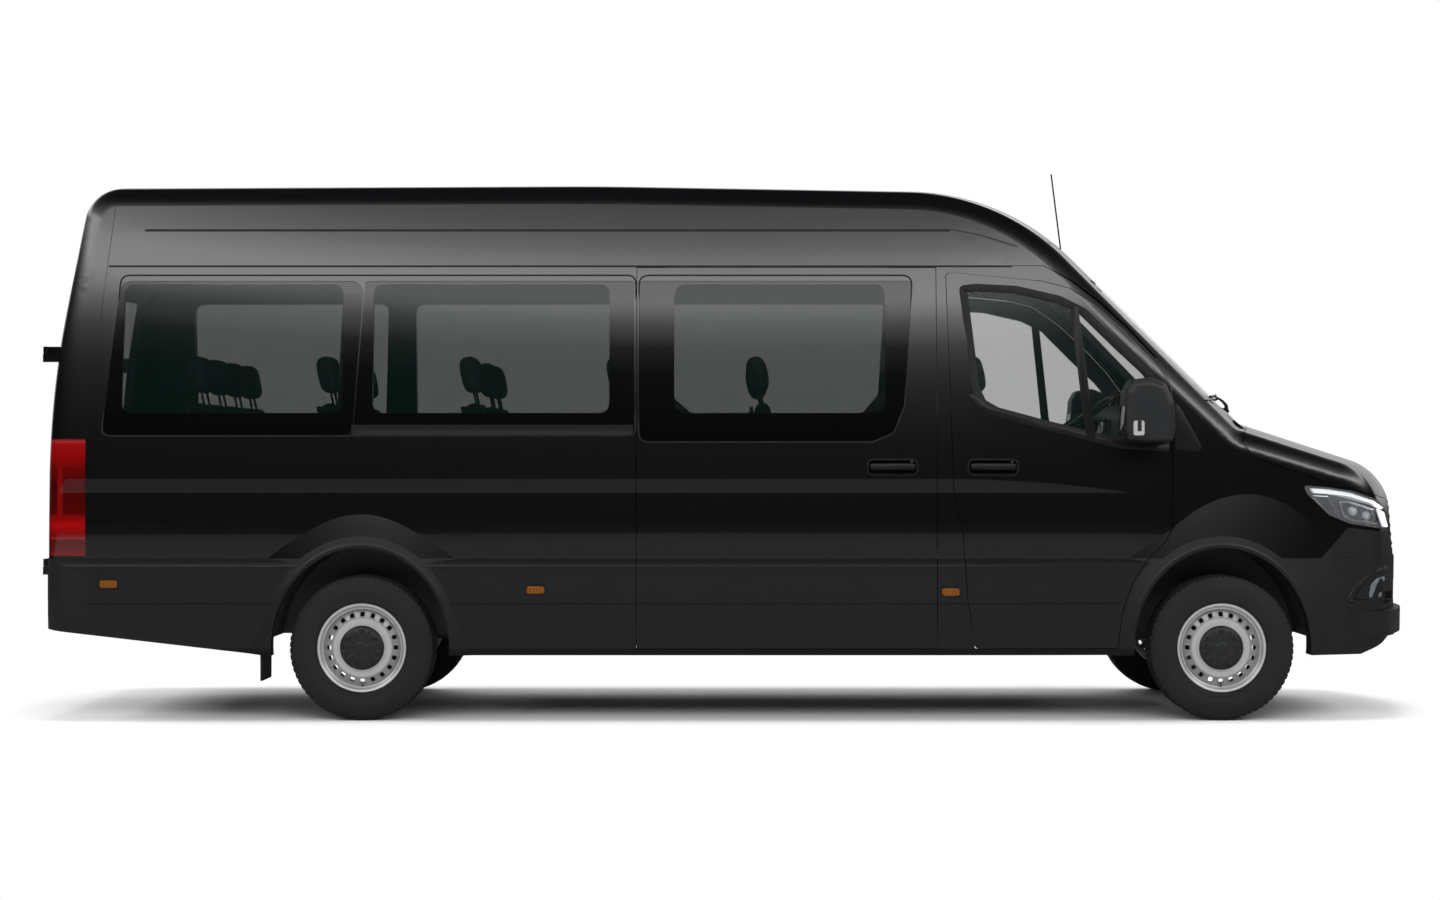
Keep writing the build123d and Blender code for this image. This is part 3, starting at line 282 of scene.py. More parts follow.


# silver steel, darker in the ring of vents and in the well inside the rolled lip than on the rolled edges:
# painted shade
def rimFinish():
    rim = {"silver": (0.56, 0.565, 0.57), "bright": (0.64, 0.645, 0.65), "dull": (0.12, 0.12, 0.125),
           "shade": (0.10, 0.10, 0.105), "ventShadeBand": (0.142, 0.152, 0.192, 0.199),
           "wellShade": (0.199, 0.203, 0.209, 0.213)}
    finish = Finish("rimSilver", metallic=0.5)
    x, y, z = finish.axes()
    rise = z - wheelHeight
    radius = None
    for axle in axles:
        across = x - axle
        reach = (across * across + rise * rise).root()
        radius = reach if radius is None else radius.smaller(reach)
    # painted shade: the vent ring takes the dull tone and the well inside the lip takes the shade tone, as
    # if shaded
    rings = (rim["ventShadeBand"], rim["wellShade"])
    band, wellShade = [radius.step(*ring[:2]) * (1 - radius.step(*ring[2:])) for ring in rings]
    cloud = finish.noise(9.0, 4.0)
    silver = finish.mix(cloud, rim["silver"], rim["bright"])
    silver = finish.mix(band * 0.55, silver, rim["dull"])
    finish.set(baseColor=finish.mix(wellShade * 0.6, silver, rim["shade"]))
    finish.set(roughness=cloud * 0.1 + 0.28)
    finish.bump(finish.noise(300.0, 2.0), 0.0001, 0.4)
    return finish.material


# door mirror: moulded shell with a pale turn lamp let into its outer face
def mirrorFinish():
    shell = {"tone": (0.011, 0.012, 0.013), "pale": (0.014, 0.015, 0.016), "lamp": (0.33, 0.34, 0.33),
             "outerFace": 1.19, "lampBox": (1.966, 2.020, 1.432, 1.504, 0.010),
             "gap": (1.986, 2.006, 1.452, 1.504, 0.004)}
    finish = Finish("mirrorShell", coatWeight=0.0)
    x, y, z = finish.axes()
    outer = abs(y) > shell["outerFace"]
    distance = roundedBox(x, z, shell["lampBox"])
    inner = roundedBox(x, z, shell["gap"])
    lamp = outer * (1 - distance.step(-0.001, 0.001)) * inner.step(-0.002, 0.002)
    cloud = finish.noise(7.0, 3.0)
    finish.set(baseColor=finish.mix(lamp, finish.mix(cloud, shell["tone"], shell["pale"]), shell["lamp"]))
    finish.set(roughness=finish.between(lamp, cloud * 0.08 + 0.36, 0.12))
    finish.bump(finish.noise(900.0, 2.0) * (1 - lamp), 0.00025, 0.6)
    return finish.material


# tail lamp: red fields from the foot to the head of the lens, with ribs and an even middle field
def tailLampFinish():
    lamp = {"foot": 0.83, "high": 0.586, "middle": (0.34, 0.78), "middleTone": (0.15, 0.002, 0.002),
            "stripX": -3.395, "faceX": -3.40, "ribs": 420.0}
    fields = [(0.0, (0.15, 0.004, 0.004)), (0.05, (0.075, 0.006, 0.006)), (0.13, (0.060, 0.004, 0.004)),
              (0.15, (0.19, 0.010, 0.010)), (0.165, (0.12, 0.002, 0.002)), (0.26, (0.27, 0.002, 0.002)),
              (0.32, (0.17, 0.001, 0.001)), (0.37, (0.055, 0.0006, 0.0006)),
              (0.60, (0.042, 0.0005, 0.0005)), (0.76, (0.10, 0.001, 0.001)), (0.82, (0.17, 0.001, 0.001)),
              (0.96, (0.22, 0.003, 0.003)), (0.975, (0.28, 0.02, 0.02)), (1.0, (0.08, 0.001, 0.001))]
    finish = Finish("tailLamp", roughness=0.1, coatWeight=1.0, coatRoughness=0.03)
    x, y, z = finish.axes()
    height = (z - lamp["foot"]) / lamp["high"]
    colour = finish.node("ValToRGB", {"stops": fields}, {"Fac": height})
    middle = (height > lamp["middle"][0]) * (height < lamp["middle"][1])
    strip = abs(x - lamp["stripX"]).step(0.012, 0.03)
    field = middle * (1 - strip) * (x > lamp["faceX"])
    finish.set(baseColor=finish.mix(field, colour, lamp["middleTone"]))
    finish.bump((x * lamp["ribs"]).sine() * middle, 0.0008, 0.5)
    return finish.material


print("making finishes")
# clear parts of the panes: two ends along the wall, lower and upper edge, corner radius, side or 0 for both
sideLights = [(-3.080, -1.975, 1.546, 2.196, 0.05, 0), (-1.822, -0.632, 1.546, 2.196, 0.05, 0),
              (-0.306, 0.758, 1.546, 2.196, 0.06, -1), (-0.400, 0.880, 1.546, 2.196, 0.06, 1)]
tailLights = [(-0.715, -0.100, 1.480, 2.190, 0.03, 0), (0.100, 0.715, 1.480, 2.190, 0.03, 0)]
tinted = {"tone": (0.0020, 0.0076, 0.0063), "clearness": 0.51}
finishes = {
    "body_paint": bodyFinish(),
    "grey_plastic": claddingFinish("claddingPlastic", (0.0062, 0.0067, 0.0075)),
    "black_plastic": claddingFinish("blackPlastic", (0.0035, 0.0036, 0.004), 0.36),
    "tinted_glass": glassFinish("tintedGlass", tinted["tone"], tinted["clearness"], sideLights),
    "clear_glass": glassFinish("clearGlass", (0.010, 0.020, 0.019), 0.78),
    "lamp_lens": glassFinish("lampLens", (0.3, 0.31, 0.32), 0.88),
    "lamp_housing": plainFinish("lampBowl", (0.10, 0.10, 0.105), 0.3, 0.6),
    "red_lens": tailLampFinish(),
    "rim_steel": rimFinish(),
    "tyre": plainFinish("tyreRubber", (0.009, 0.0095, 0.010), 0.66, wear=0.2),
    "seat_cloth": plainFinish("seatCloth", (0.03, 0.032, 0.036), 0.9, grainScale=1400.0, depth=0.0006),
    "dark_steel": plainFinish("darkSteel", (0.03, 0.03, 0.033), 0.5, wear=0.3),
}
mirrorShell = mirrorFinish()
tailGlass = glassFinish("tailGlass", tinted["tone"], tinted["clearness"], tailLights, 1)
ownFinish = {"mirror_right": mirrorShell, "mirror_left": mirrorShell,
             "rear_glass_right": tailGlass, "rear_glass_left": tailGlass}
black = finishes["black_plastic"]
rubber = plainFinish("sealRubber", (0.006, 0.006, 0.006), 0.55)
amber = plainFinish("amberLens", (0.16, 0.050, 0.004), 0.2, coat=1.0, depth=0.0)
chrome = plainFinish("mirrorSilver", (0.75, 0.77, 0.78), 0.04, metallic=1.0, wear=0.02, depth=0.0)
for part in frame["record"]["subparts"]:
    node = nodes[part["node"]]
    node.data.materials.clear()
    node.data.materials.append(ownFinish.get(part["node"], finishes[part["material_slot"]]))


# camera at the height of the bonnet, square to the right side
def makeCamera():
    view = {"place": (0.0255, -14.47, 1.31), "focal": 67.22, "sensor": 36.0, "wide": 1440,
            "across": 20, "down": 10}
    data = bpy.data.cameras.new("camera")
    data.lens = view["focal"]
    data.sensor_width = view["sensor"]
    data.shift_x = -view["across"] / view["wide"]
    data.shift_y = view["down"] / view["wide"]
    data.clip_end = 200.0
    camera = addObject("camera", data)
    camera.location = view["place"]
    camera.rotation_euler = (math.radians(90), 0, 0)
    bpy.context.scene.camera = camera


def addObject(name, data):
    piece = bpy.data.objects.new(name, data)
    bpy.context.collection.objects.link(piece)
    return piece


def meshPoints(mesh):
    spots = np.empty(len(mesh.vertices) * 3)
    mesh.vertices.foreach_get("co", spots)
    return spots.reshape(-1, 3)


# quads between neighbouring rows and columns of a grid of points
def gridMesh(name, points, wrapRows=False, wrapColumns=False, capEnds=False):
    rows, columns = points.shape[:2]
    index = np.arange(rows * columns).reshape(rows, columns)
    ends = [index[0, ::-1].tolist(), index[-1].tolist()]
    if wrapRows:
        index = np.vstack([index, index[:1]])
    if wrapColumns:
        index = np.hstack([index, index[:, :1]])
    quads = np.stack([index[:-1, :-1], index[:-1, 1:], index[1:, 1:], index[1:, :-1]],
                     axis=-1).reshape(-1, 4)
    mesh = bpy.data.meshes.new(name)
    mesh.from_pydata(points.reshape(-1, 3).tolist(), [], quads.tolist() + (ends if capEnds else []))
    return mesh


# merge doubles and turn every face outwards
def tidyMesh(mesh, merge=1e-5):
    work = bmesh.new()
    work.from_mesh(mesh)
    bmesh.ops.remove_doubles(work, verts=work.verts, dist=merge)
    bmesh.ops.recalc_face_normals(work, faces=work.faces)
    work.to_mesh(mesh)
    work.free()
    return mesh


def shade(mesh, angle):
    mesh.polygons.foreach_set("use_smooth", [True] * len(mesh.polygons))
    mesh.set_sharp_from_angle(angle=math.radians(angle))


# a piece that moves with a body; a smooth angle of 0 keeps the mesh's own shading
def addPiece(name, mesh, finish, body="body", slot="black_plastic", replaced=(), smooth=40.0):
    mesh.materials.clear()
    mesh.materials.append(finish)
    if smooth:
        shade(mesh, smooth)
    piece = addObject(name, mesh)
    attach(piece, body)
    if replaced:
        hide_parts(*replaced)
    return piece


# paper that turns plain white far from the vehicle, and looks dark in the paint
def makeFloor():
    floor = {"half": 60.0, "tone": (0.8, 0.8, 0.8), "mirrored": (0.13, 0.13, 0.13),
             "whiteFrom": 1.5, "whiteTo": 3.3}
    half = floor["half"]
    mesh = bpy.data.meshes.new("floor")
    corners = [(-half, -half, 0), (half, -half, 0), (half, half, 0), (-half, half, 0)]
    mesh.from_pydata(corners, [], [(0, 1, 2, 3)])
    finish = Finish("floorPaper", roughness=0.9, specularIORLevel=0.0)
    x, y, z = finish.axes()
    far = (x * x * 0.2 + y * y).root().step(floor["whiteFrom"], floor["whiteTo"])
    paper = finish.node("Emission", {}, {"Color": (1.0, 1.0, 1.0), "Strength": 1.0})
    seen = finish.node("LightPath", {}, {}, "Is Camera Ray")
    mirrored = finish.node("LightPath", {}, {}, "Is Glossy Ray")
    finish.set(baseColor=finish.mix(mirrored, floor["tone"], floor["mirrored"]))
    plain = Wire(finish, finish.shader.outputs[0])
    finish.surface(finish.node("MixShader", {}, {0: far * seen, 1: plain, 2: paper}))
    mesh.materials.append(finish.material)
    addObject("floor", mesh)


# a dome that only mirrors see: a bright band above a dark horizon, strongest on the camera's side
def makeDome():
    sky = {"radius": 10.0, "sunk": 0.5, "power": 3.1, "weakest": 0.42, "back": (0.15, 0.15, 0.15)}
    # brightness by the sine of the height above the horizon
    band = [(0.0, 0.002), (0.30, 0.003), (0.413, 0.020), (0.450, 0.09), (0.482, 0.45), (0.512, 1.15),
            (0.548, 1.05), (0.580, 0.50), (0.610, 0.24), (0.66, 0.12), (0.74, 0.03), (0.85, 0.005),
            (1.0, 0.002)]
    rise = np.linspace(0, np.pi / 2, 25)
    turn = np.linspace(0, 2 * np.pi, 49)[:-1]
    ring = np.outer(np.cos(rise), np.cos(turn)), np.outer(np.cos(rise), np.sin(turn))
    upright = sky["radius"] * np.outer(np.sin(rise), np.ones(48)) - sky["sunk"]
    shell = np.stack([sky["radius"] * ring[0], sky["radius"] * ring[1], upright], -1)
    mesh = tidyMesh(gridMesh("dome", shell, wrapColumns=True))
    finish = Finish("domeGlow")
    x, y, z = finish.axes()
    height = ((z + sky["sunk"]) / sky["radius"]).larger(0.0)
    stops = [(place, (level,) * 3) for place, level in band]
    glow = finish.node("ValToRGB", {"stops": stops}, {"Fac": height})
    back = y.step(3.0, 6.0) * height.step(0.12, 0.24) * (1 - height.step(0.45, 0.55))
    bright = finish.between(1 - y.step(-4.0, 1.0), sky["weakest"], 1.0)
    glow = finish.node("VectorMath", {"operation": "SCALE"}, {0: glow, "Scale": bright})
    glow = finish.mix(back, glow, sky["back"])
    finish.surface(finish.node("Emission", {}, {"Color": glow, "Strength": sky["power"]}))
    mesh.materials.append(finish.material)
    dome = addObject("dome", mesh)
    for ray in ("camera", "diffuse", "transmission", "shadow", "volume_scatter"):
        setattr(dome, "visible_" + ray, False)


# a rectangular light that no mirror shows
def addBox(name, size, power, place, turn=(0, 0, 0)):
    data = bpy.data.lights.new(name, "AREA")
    data.shape = "RECTANGLE"
    data.size, data.size_y = size
    data.energy = power
    box = addObject(name, data)
    box.location = place
    box.rotation_euler = turn
    box.visible_camera = False
    box.visible_glossy = False


# four tilted boxes round the vehicle and one over it
def makeLights():
    boxes = {"reach": 9.5, "low": 4.0, "high": 8.0, "long": 14.0, "tilt": 70, "power": 680.0,
             "topSize": (9.0, 4.0), "topHeight": 9.0, "topPower": 900.0}
    reach, low, high = boxes["reach"], boxes["low"], boxes["high"]
    for side in range(4):
        turn = side * math.pi / 2
        place = (reach * math.sin(turn), -reach * math.cos(turn), (low + high) / 2)
        addBox("softBox", (boxes["long"], high - low), boxes["power"], place,
               (math.radians(boxes["tilt"]), 0, turn))
    addBox("topBox", boxes["topSize"], boxes["topPower"], (0, 0, boxes["topHeight"]))


# white where the camera looks past the vehicle, weaker as a light
def makeWorld():
    strength = 0.34
    world = bpy.data.worlds.new("studio")
    bpy.context.scene.world = world
    world.use_nodes = True
    tree = world.node_tree
    paths = tree.nodes.new("ShaderNodeLightPath")
    either = tree.nodes.new("ShaderNodeMath")
    either.operation = "MAXIMUM"
    tree.links.new(paths.outputs["Is Camera Ray"], either.inputs[0])
    tree.links.new(paths.outputs["Is Transmission Ray"], either.inputs[1])
    level = tree.nodes.new("ShaderNodeMapRange")
    level.inputs["To Min"].default_value = strength
    tree.links.new(either.outputs[0], level.inputs["Value"])
    tree.links.new(level.outputs[0], tree.nodes["Background"].inputs["Strength"])
    tree.nodes["Background"].inputs["Color"].default_value = (1, 1, 1, 1)
    bpy.context.scene.view_settings.view_transform = "Standard"


makeCamera()
makeFloor()
makeDome()
makeLights()
makeWorld()
print("camera and stage made")


# ring turned about the wheel's axle: a profile of radius and outward distance at each angle
def turnedMesh(name, radius, outward, steps, centre, side):
    angle = np.linspace(0, 2 * np.pi, steps, endpoint=False)[:, None]
    radius = np.broadcast_to(radius, (steps, np.shape(radius)[-1]))
    outward = np.broadcast_to(outward, radius.shape)
    x = centre[0] + radius * np.cos(angle)
    y = centre[1] + side * outward
    z = centre[2] + radius * np.sin(angle)
    return tidyMesh(gridMesh(name, np.stack([x, y, z], -1), wrapRows=True, wrapColumns=True))


# how much of a groove of this half width is cut at a distance from its middle
def groove(distance, half, soft):
    return 1 - np.clip((np.abs(distance) - half) / soft, 0, 1)


# tyres: a crowned tread cut by straight grooves and slanting sipes, with lugs that fade down the sidewall
def makeTyres():
    tyre = {"tread": 0.365, "halfTread": 0.094, "crown": 0.0045, "grooves": (-0.058, -0.020, 0.020, 0.058),
            "grooveHalf": 0.0045, "grooveSoft": 0.002, "grooveDeep": 0.008, "pitches": 68, "perPitch": 8,
            "slant": 6.0, "sipeHalf": 0.10, "sipeSoft": 0.08, "sipeDeep": 0.006, "ribHalf": 0.012,
            "ribSoft": 0.01, "lugSoft": 0.10, "lugDeep": 0.003, "lugFoot": 0.335, "lugFade": 0.02}
    # radius and outward distance from the outer bead over the sidewall to the shoulder
    wall = np.array([(0.222, 0.079), (0.228, 0.094), (0.236, 0.101), (0.240, 0.1035), (0.244, 0.103),
                     (0.262, 0.109), (0.285, 0.1125), (0.305, 0.1122), (0.308, 0.1112), (0.311, 0.1112),
                     (0.328, 0.1085), (0.342, 0.1045), (0.352, 0.100), (0.3585, 0.0955)])
    inside = np.array([(0.222, -0.079), (0.206, -0.075), (0.206, -0.060), (0.236, -0.078), (0.285, -0.098),
                       (0.335, -0.092), (0.348, -0.060), (0.348, 0.060), (0.335, 0.092), (0.285, 0.098),
                       (0.236, 0.078), (0.206, 0.060), (0.206, 0.075)])
    half, steps = tyre["halfTread"], tyre["pitches"] * tyre["perPitch"]
    across = np.linspace(-half, half, 49)
    angle = np.linspace(0, 2 * np.pi, steps, endpoint=False)[:, None]
    pitch = angle * tyre["pitches"] / (2 * np.pi)
    crown = tyre["tread"] - tyre["crown"] * (np.abs(across) / half) ** 3
    long = sum(groove(across - place, tyre["grooveHalf"], tyre["grooveSoft"]) for place in tyre["grooves"])
    wave = np.mod(pitch + tyre["slant"] * across, 1.0) - 0.5
    rib = np.clip((np.abs(across) - tyre["ribHalf"]) / tyre["ribSoft"], 0, 1)
    cross = groove(wave, tyre["sipeHalf"], tyre["sipeSoft"]) * rib
    tread = crown - np.maximum(np.clip(long, 0, 1) * tyre["grooveDeep"], cross * tyre["sipeDeep"])
    lug = groove(np.mod(pitch + tyre["slant"] * half, 1.0) - 0.5, tyre["sipeHalf"], tyre["lugSoft"])
    fade = np.clip((wall[:, 0] - tyre["lugFoot"]) / tyre["lugFade"], 0, 1)
    outer = wall[:, 0] - tyre["lugDeep"] * lug * fade
    radius = np.hstack([outer, tread[:, ::-1], outer[:, ::-1][:, :-1], inside[:, 0] * np.ones((steps, 1))])
    outward = np.hstack([wall[:, 1], across[::-1], -wall[::-1, 1][:-1], inside[:, 1]])
    for end in ("front", "rear"):
        for name, side in sides:
            mesh = turnedMesh("tyre", radius, outward, steps, middleOf(f"tyre_{end}_{name}"), side)
            addPiece(f"treadTyre_{end}_{name}", mesh, finishes["tyre"], f"wheel_{end}_{name}", "tyre",
                     [f"tyre_{end}_{name}"], 30.0)


makeTyres()
print("tyres made")


# reach of an upright section line that is bent inwards along a wide arc ahead of the cab doors
def bent(half, ahead, arc):
    return np.sqrt((arc + half) ** 2 - ahead ** 2) - arc


# outward distance of the side's skin from the centre line at places x and levels z: two upright arcs that
# meet at the belt, a step out at the cladding, and the pressed waist where it lies further in
def skinSide(x, z):
    skin = {"half": 1.0, "belt": 0.646, "upperArc": 11.25, "lowerArc": 1.74, "claddingTop": 0.815,
            "claddingStep": 0.006, "bendFrom": 1.03, "plainArc": 19.2, "waistArc": 32.2}
    waist = [(0.59, 1.2), (0.591, 1.0023), (0.742, 1.0015), (0.77, 1.0), (0.793, 0.994), (0.811, 0.9695),
             (0.818, 0.9705), (0.9, 0.9796), (0.985, 0.9829), (1.145, 0.9799), (1.215, 1.2)]
    x, z = np.asarray(x, float), np.asarray(z, float)
    arc = np.where(z > skin["belt"], skin["upperArc"], skin["lowerArc"])
    half = skin["half"] - arc + np.sqrt(arc ** 2 - (z - skin["belt"]) ** 2)
    half = half + np.where(z < skin["claddingTop"], skin["claddingStep"], 0.0)
    pressed = np.interp(z, *zip(*waist))
    ahead = np.maximum(x - skin["bendFrom"], 0.0)
    return np.minimum(bent(half, ahead, skin["plainArc"]), bent(pressed, ahead, skin["waistArc"]))


# closed outline with its corners rounded
def roundedLoop(corners, radius, steps=6):
    corners = np.asarray(corners, float)
    loop = []
    for spot, corner in enumerate(corners):
        before = corners[spot - 1] - corner
        after = corners[(spot + 1) % len(corners)] - corner
        lengths = np.linalg.norm(before), np.linalg.norm(after)
        before, after = before / lengths[0], after / lengths[1]
        angle = np.arccos(np.clip(before @ after, -1, 1))
        back = min(radius / np.tan(angle / 2), 0.45 * lengths[0], 0.45 * lengths[1])
        t = np.linspace(0, 1, steps)[:, None]
        start, end = corner + before * back, corner + after * back
        loop.append((1 - t) ** 2 * start + 2 * t * (1 - t) * corner + t ** 2 * end)
    return np.concatenate(loop)


def boxLoop(x0, x1, z0, z1, radius, steps=6):
    return roundedLoop([(x0, z0), (x1, z0), (x1, z1), (x0, z1)], radius, steps)


def circleLoop(u, v, radius, steps):
    turn = np.linspace(0, 2 * np.pi, steps, endpoint=False)
    return np.stack([u + radius * np.cos(turn), v + radius * np.sin(turn)], 1)


# corners given along and across a spoke, turned to its angle
def spokeCorners(angle, corners):
    along, across = np.transpose(corners)
    return np.stack([along * math.cos(angle) - across * math.sin(angle),
                     along * math.sin(angle) + across * math.cos(angle)], 1)


# the outline moved inwards, whichever way round it runs
def insetLoop(loop, depth):
    ahead = np.roll(loop, -1, 0) - loop
    ahead /= np.maximum(np.linalg.norm(ahead, axis=1, keepdims=True), 1e-9)
    normal = ahead + np.roll(ahead, 1, 0)
    normal /= np.maximum(np.linalg.norm(normal, axis=1, keepdims=True), 1e-9)
    area = np.sum(loop[:, 0] * np.roll(loop[:, 1], -1) - loop[:, 1] * np.roll(loop[:, 0], -1))
    turn = np.stack([-normal[:, 1], normal[:, 0]], 1) * (1 if area > 0 else -1)
    return loop + turn * depth


# outline stacked at (inset, height) levels and closed at both ends, or a ring when it isn't closed; spot
# turns (u, v, height) into a place
def stackMesh(name, loop, levels, spot, closed=True):
    rings = []
    for depth, height in levels:
        ring = insetLoop(loop, depth)
        rings.append(spot(ring[:, 0], ring[:, 1], np.full(len(ring), height)))
    grid = gridMesh(name, np.stack(rings), wrapRows=not closed, wrapColumns=True, capEnds=closed)
    return tidyMesh(grid, 1e-6)


# closed tube of one or more radii along a path of places
def tubeMesh(name, path, radius, sides=12):
    path = np.asarray(path, float)
    ahead = np.gradient(path, axis=0)
    ahead /= np.linalg.norm(ahead, axis=1, keepdims=True)
    across = np.cross(ahead, (0.13, 0.21, 0.97))
    across /= np.linalg.norm(across, axis=1, keepdims=True)
    up = np.cross(across, ahead)
    turn = np.linspace(0, 2 * np.pi, sides, endpoint=False)[None, :, None]
    wide = np.broadcast_to(radius, len(path))[:, None, None]
    rings = path[:, None] + wide * (np.cos(turn) * across[:, None] + np.sin(turn) * up[:, None])
    return tidyMesh(gridMesh(name, rings, wrapColumns=True, capEnds=True), 1e-6)


def joined(name, meshes):
    work = bmesh.new()
    for mesh in meshes:
        work.from_mesh(mesh)
    whole = bpy.data.meshes.new(name)
    work.to_mesh(whole)
    work.free()
    return whole


# smooth curve through a few places: a cubic between each pair, which heads along the line that joins the
# neighbours
def smoothPath(points, steps=8):
    points = np.asarray(points, float)
    padded = np.vstack([2 * points[0] - points[1], points, 2 * points[-1] - points[-2]])
    t = np.linspace(0, 1, steps, endpoint=False)[:, None]
    parts = []
    for a, b, c, d in zip(padded, padded[1:], padded[2:], padded[3:]):
        square = (2 * a - 5 * b + 4 * c - d) * t ** 2
        parts.append(0.5 * (2 * b + (c - a) * t + square + (3 * b - a - 3 * c + d) * t ** 3))
    return np.concatenate(parts + [points[-1:]])


# places on the side's skin: u lengthwise, v up, h outwards
def onSide(side):
    return lambda u, v, h: np.stack([u, side * (skinSide(u, v) + h), v], -1)


print("making side details")


# dark collars round the door windows, the bar that divides them, the corner trim ahead and the waist strip
def makeDoorTrim():
    trim = {"glass": [(1.140, 2.182), (1.220, 2.190), (1.420, 2.180), (1.640, 2.130), (1.765, 2.068),
                      (1.938, 1.897), (2.069, 1.775), (2.176, 1.650), (2.176, 1.368), (1.938, 1.385),
                      (1.552, 1.481), (1.311, 1.546), (1.236, 1.590), (1.200, 1.671)],
            "bar": [(1.688, 2.100), (1.732, 2.085), (1.812, 1.415), (1.764, 1.428)],
            "corner": [(2.215, 1.625), (2.352, 1.372), (2.335, 1.352), (2.215, 1.362)],
            "waist": [(1.170, 1.640), (1.206, 1.650), (1.262, 1.592), (1.330, 1.560), (1.560, 1.500),
                      (1.945, 1.402), (2.186, 1.386), (2.186, 1.352), (1.934, 1.368), (1.548, 1.464),
                      (1.302, 1.530), (1.220, 1.572)],
            "rim": [(-0.010, 0.0003), (-0.009, 0.0022), (0.0, 0.003), (0.028, 0.003), (0.031, 0.001),
                    (0.031, -0.004)]}
    # outline, its corner radius and steps, (inset, height) levels and what it moves with
    plates = {"windowBar": ("bar", 0.004, 3, [(0, -0.003), (0, 0.004), (0.003, 0.006)], "door"),
              "cornerTrim": ("corner", 0.018, 6, [(0, -0.002), (0, 0.004), (0.004, 0.006)], "body"),
              "waistTrim": ("waist", 0.006, 3, [(0, -0.001), (0, 0.003), (0.003, 0.005)], "door")}
    glass = roundedLoop(trim["glass"], 0.02)
    for name, side in sides:
        door, spot = "front_door_" + name, onSide(side)
        collar = stackMesh("collar", glass, trim["rim"], spot, closed=False)
        addPiece("windowCollar_" + name, collar, rubber, door)
        for kind, (line, radius, steps, levels, body) in plates.items():
            plate = stackMesh(kind, roundedLoop(trim[line], radius, steps), levels, spot)
            addPiece(f"{kind}_{name}", plate, black, door if body == "door" else body)


# rubber round the fixed panes, and the cover of the sliding door's rail under the middle pane
def makeGaskets():
    top, low = 2.243, 1.430
    pane = {"rear": [(-3.098, top), (-0.500, top), (-0.500, low), (-3.184, low)],
            "left": [(-0.500, top), (0.955, top), (0.955, low), (-0.500, low)],
            "slide": [(-0.484, top), (0.896, top), (0.854, 1.586), (0.799, 1.446), (0.693, 1.400),
                      (-0.484, 1.400)],
            "gasket": [(-0.004, -0.004), (-0.004, 0.0010), (-0.0015, 0.0022), (0.0015, 0.0022),
                       (0.004, 0.0010), (0.004, -0.004)],
            "rail": [(-1.925, 1.487), (-0.512, 1.487), (-0.512, 1.428), (-1.925, 1.428)],
            "shelf": [(0, -0.002), (0, 0.005), (0.0015, 0.0065), (0.006, 0.0065), (0.008, 0.003),
                      (0.030, 0.002)]}
    loops = {"right": [("rear", 0.045), ("slide", 0.05)], "left": [("rear", 0.045), ("left", 0.02)]}
    for name, side in sides:
        spot = onSide(side)
        for kind, radius in loops[name]:
            ring = stackMesh(kind, roundedLoop(pane[kind], radius), pane["gasket"], spot, closed=False)
            addPiece(f"{kind}Gasket_{name}", ring, rubber)
        if name == "right":
            cover = stackMesh("rail", roundedLoop(pane["rail"], 0.004, 3), pane["shelf"], spot)
            addPiece("slideRail", cover, black)


# dark sealing strips in the channels of the drip rail and the roof's crease, partly a real seal and partly
# painted shade in the grooves: a low section along the skin
def makeChannels():
    strips = {"dripShadeStrip": ([(-3.165, 2.289), (-1.0, 2.289), (1.0, 2.289), (1.40, 2.289)], 0.0042),
              "creaseShadeStrip": ([(-2.985, 2.473), (-1.0, 2.473), (1.09, 2.473)], 0.0050)}
    for kind, (points, half) in strips.items():
        middle = smoothPath(points)
        ahead = np.gradient(middle, axis=0)
        ahead /= np.linalg.norm(ahead, axis=1, keepdims=True)
        normal = np.stack([-ahead[:, 1], ahead[:, 0]], 1)
        section = ((-half, -0.004), (-half, 0.0002), (0.0, -0.0006), (half, 0.0002), (half, -0.004))
        for name, side in sides:
            rows = []
            for offset, height in section:
                row = middle + offset * normal
                rows.append(onSide(side)(row[:, 0], row[:, 1], np.full(len(row), height)))
            strip = tidyMesh(gridMesh(kind, np.stack(rows), wrapRows=True), 1e-6)
            addPiece(f"{kind}_{name}", strip, rubber)


# amber markers in dark bezels with a ribbed lens
def makeMarkers():
    marker = {"half": (0.052, 0.026), "places": ((-3.138, 0.688), (-0.999, 0.659), (1.082, 0.649)),
              "ribs": 5, "ribPitch": 0.016, "ribHalf": (0.004, 0.015),
              "bezel": [(0, -0.002), (0, 0.003), (0.002, 0.005), (0.006, 0.0045), (0.007, 0.001)],
              "lens": [(0.007, 0.0), (0.007, 0.004), (0.009, 0.006)],
              "rib": [(0, 0.005), (0, 0.0068), (0.002, 0.0076)]}
    wide, high = marker["half"]
    ribWide, ribHigh = marker["ribHalf"]
    for name, side in sides:
        spot = onSide(side)
        bezels, lenses = [], []
        for x, z in marker["places"]:
            loop = boxLoop(x - wide, x + wide, z - high, z + high, 0.025)
            bezels.append(stackMesh("bezel", loop, marker["bezel"], spot, closed=False))
            lenses.append(stackMesh("lens", loop, marker["lens"], spot))
            for rib in range(marker["ribs"]):
                place = x + marker["ribPitch"] * (rib - 2)
                bar = boxLoop(place - ribWide, place + ribWide, z - ribHigh, z + ribHigh, 0.002, 3)
                lenses.append(stackMesh("rib", bar, marker["rib"], spot))
        addPiece("markerBezels_" + name, joined("markerBezels", bezels), black)
        addPiece("markerLenses_" + name, joined("markerLenses", lenses), amber, "body", "red_lens")


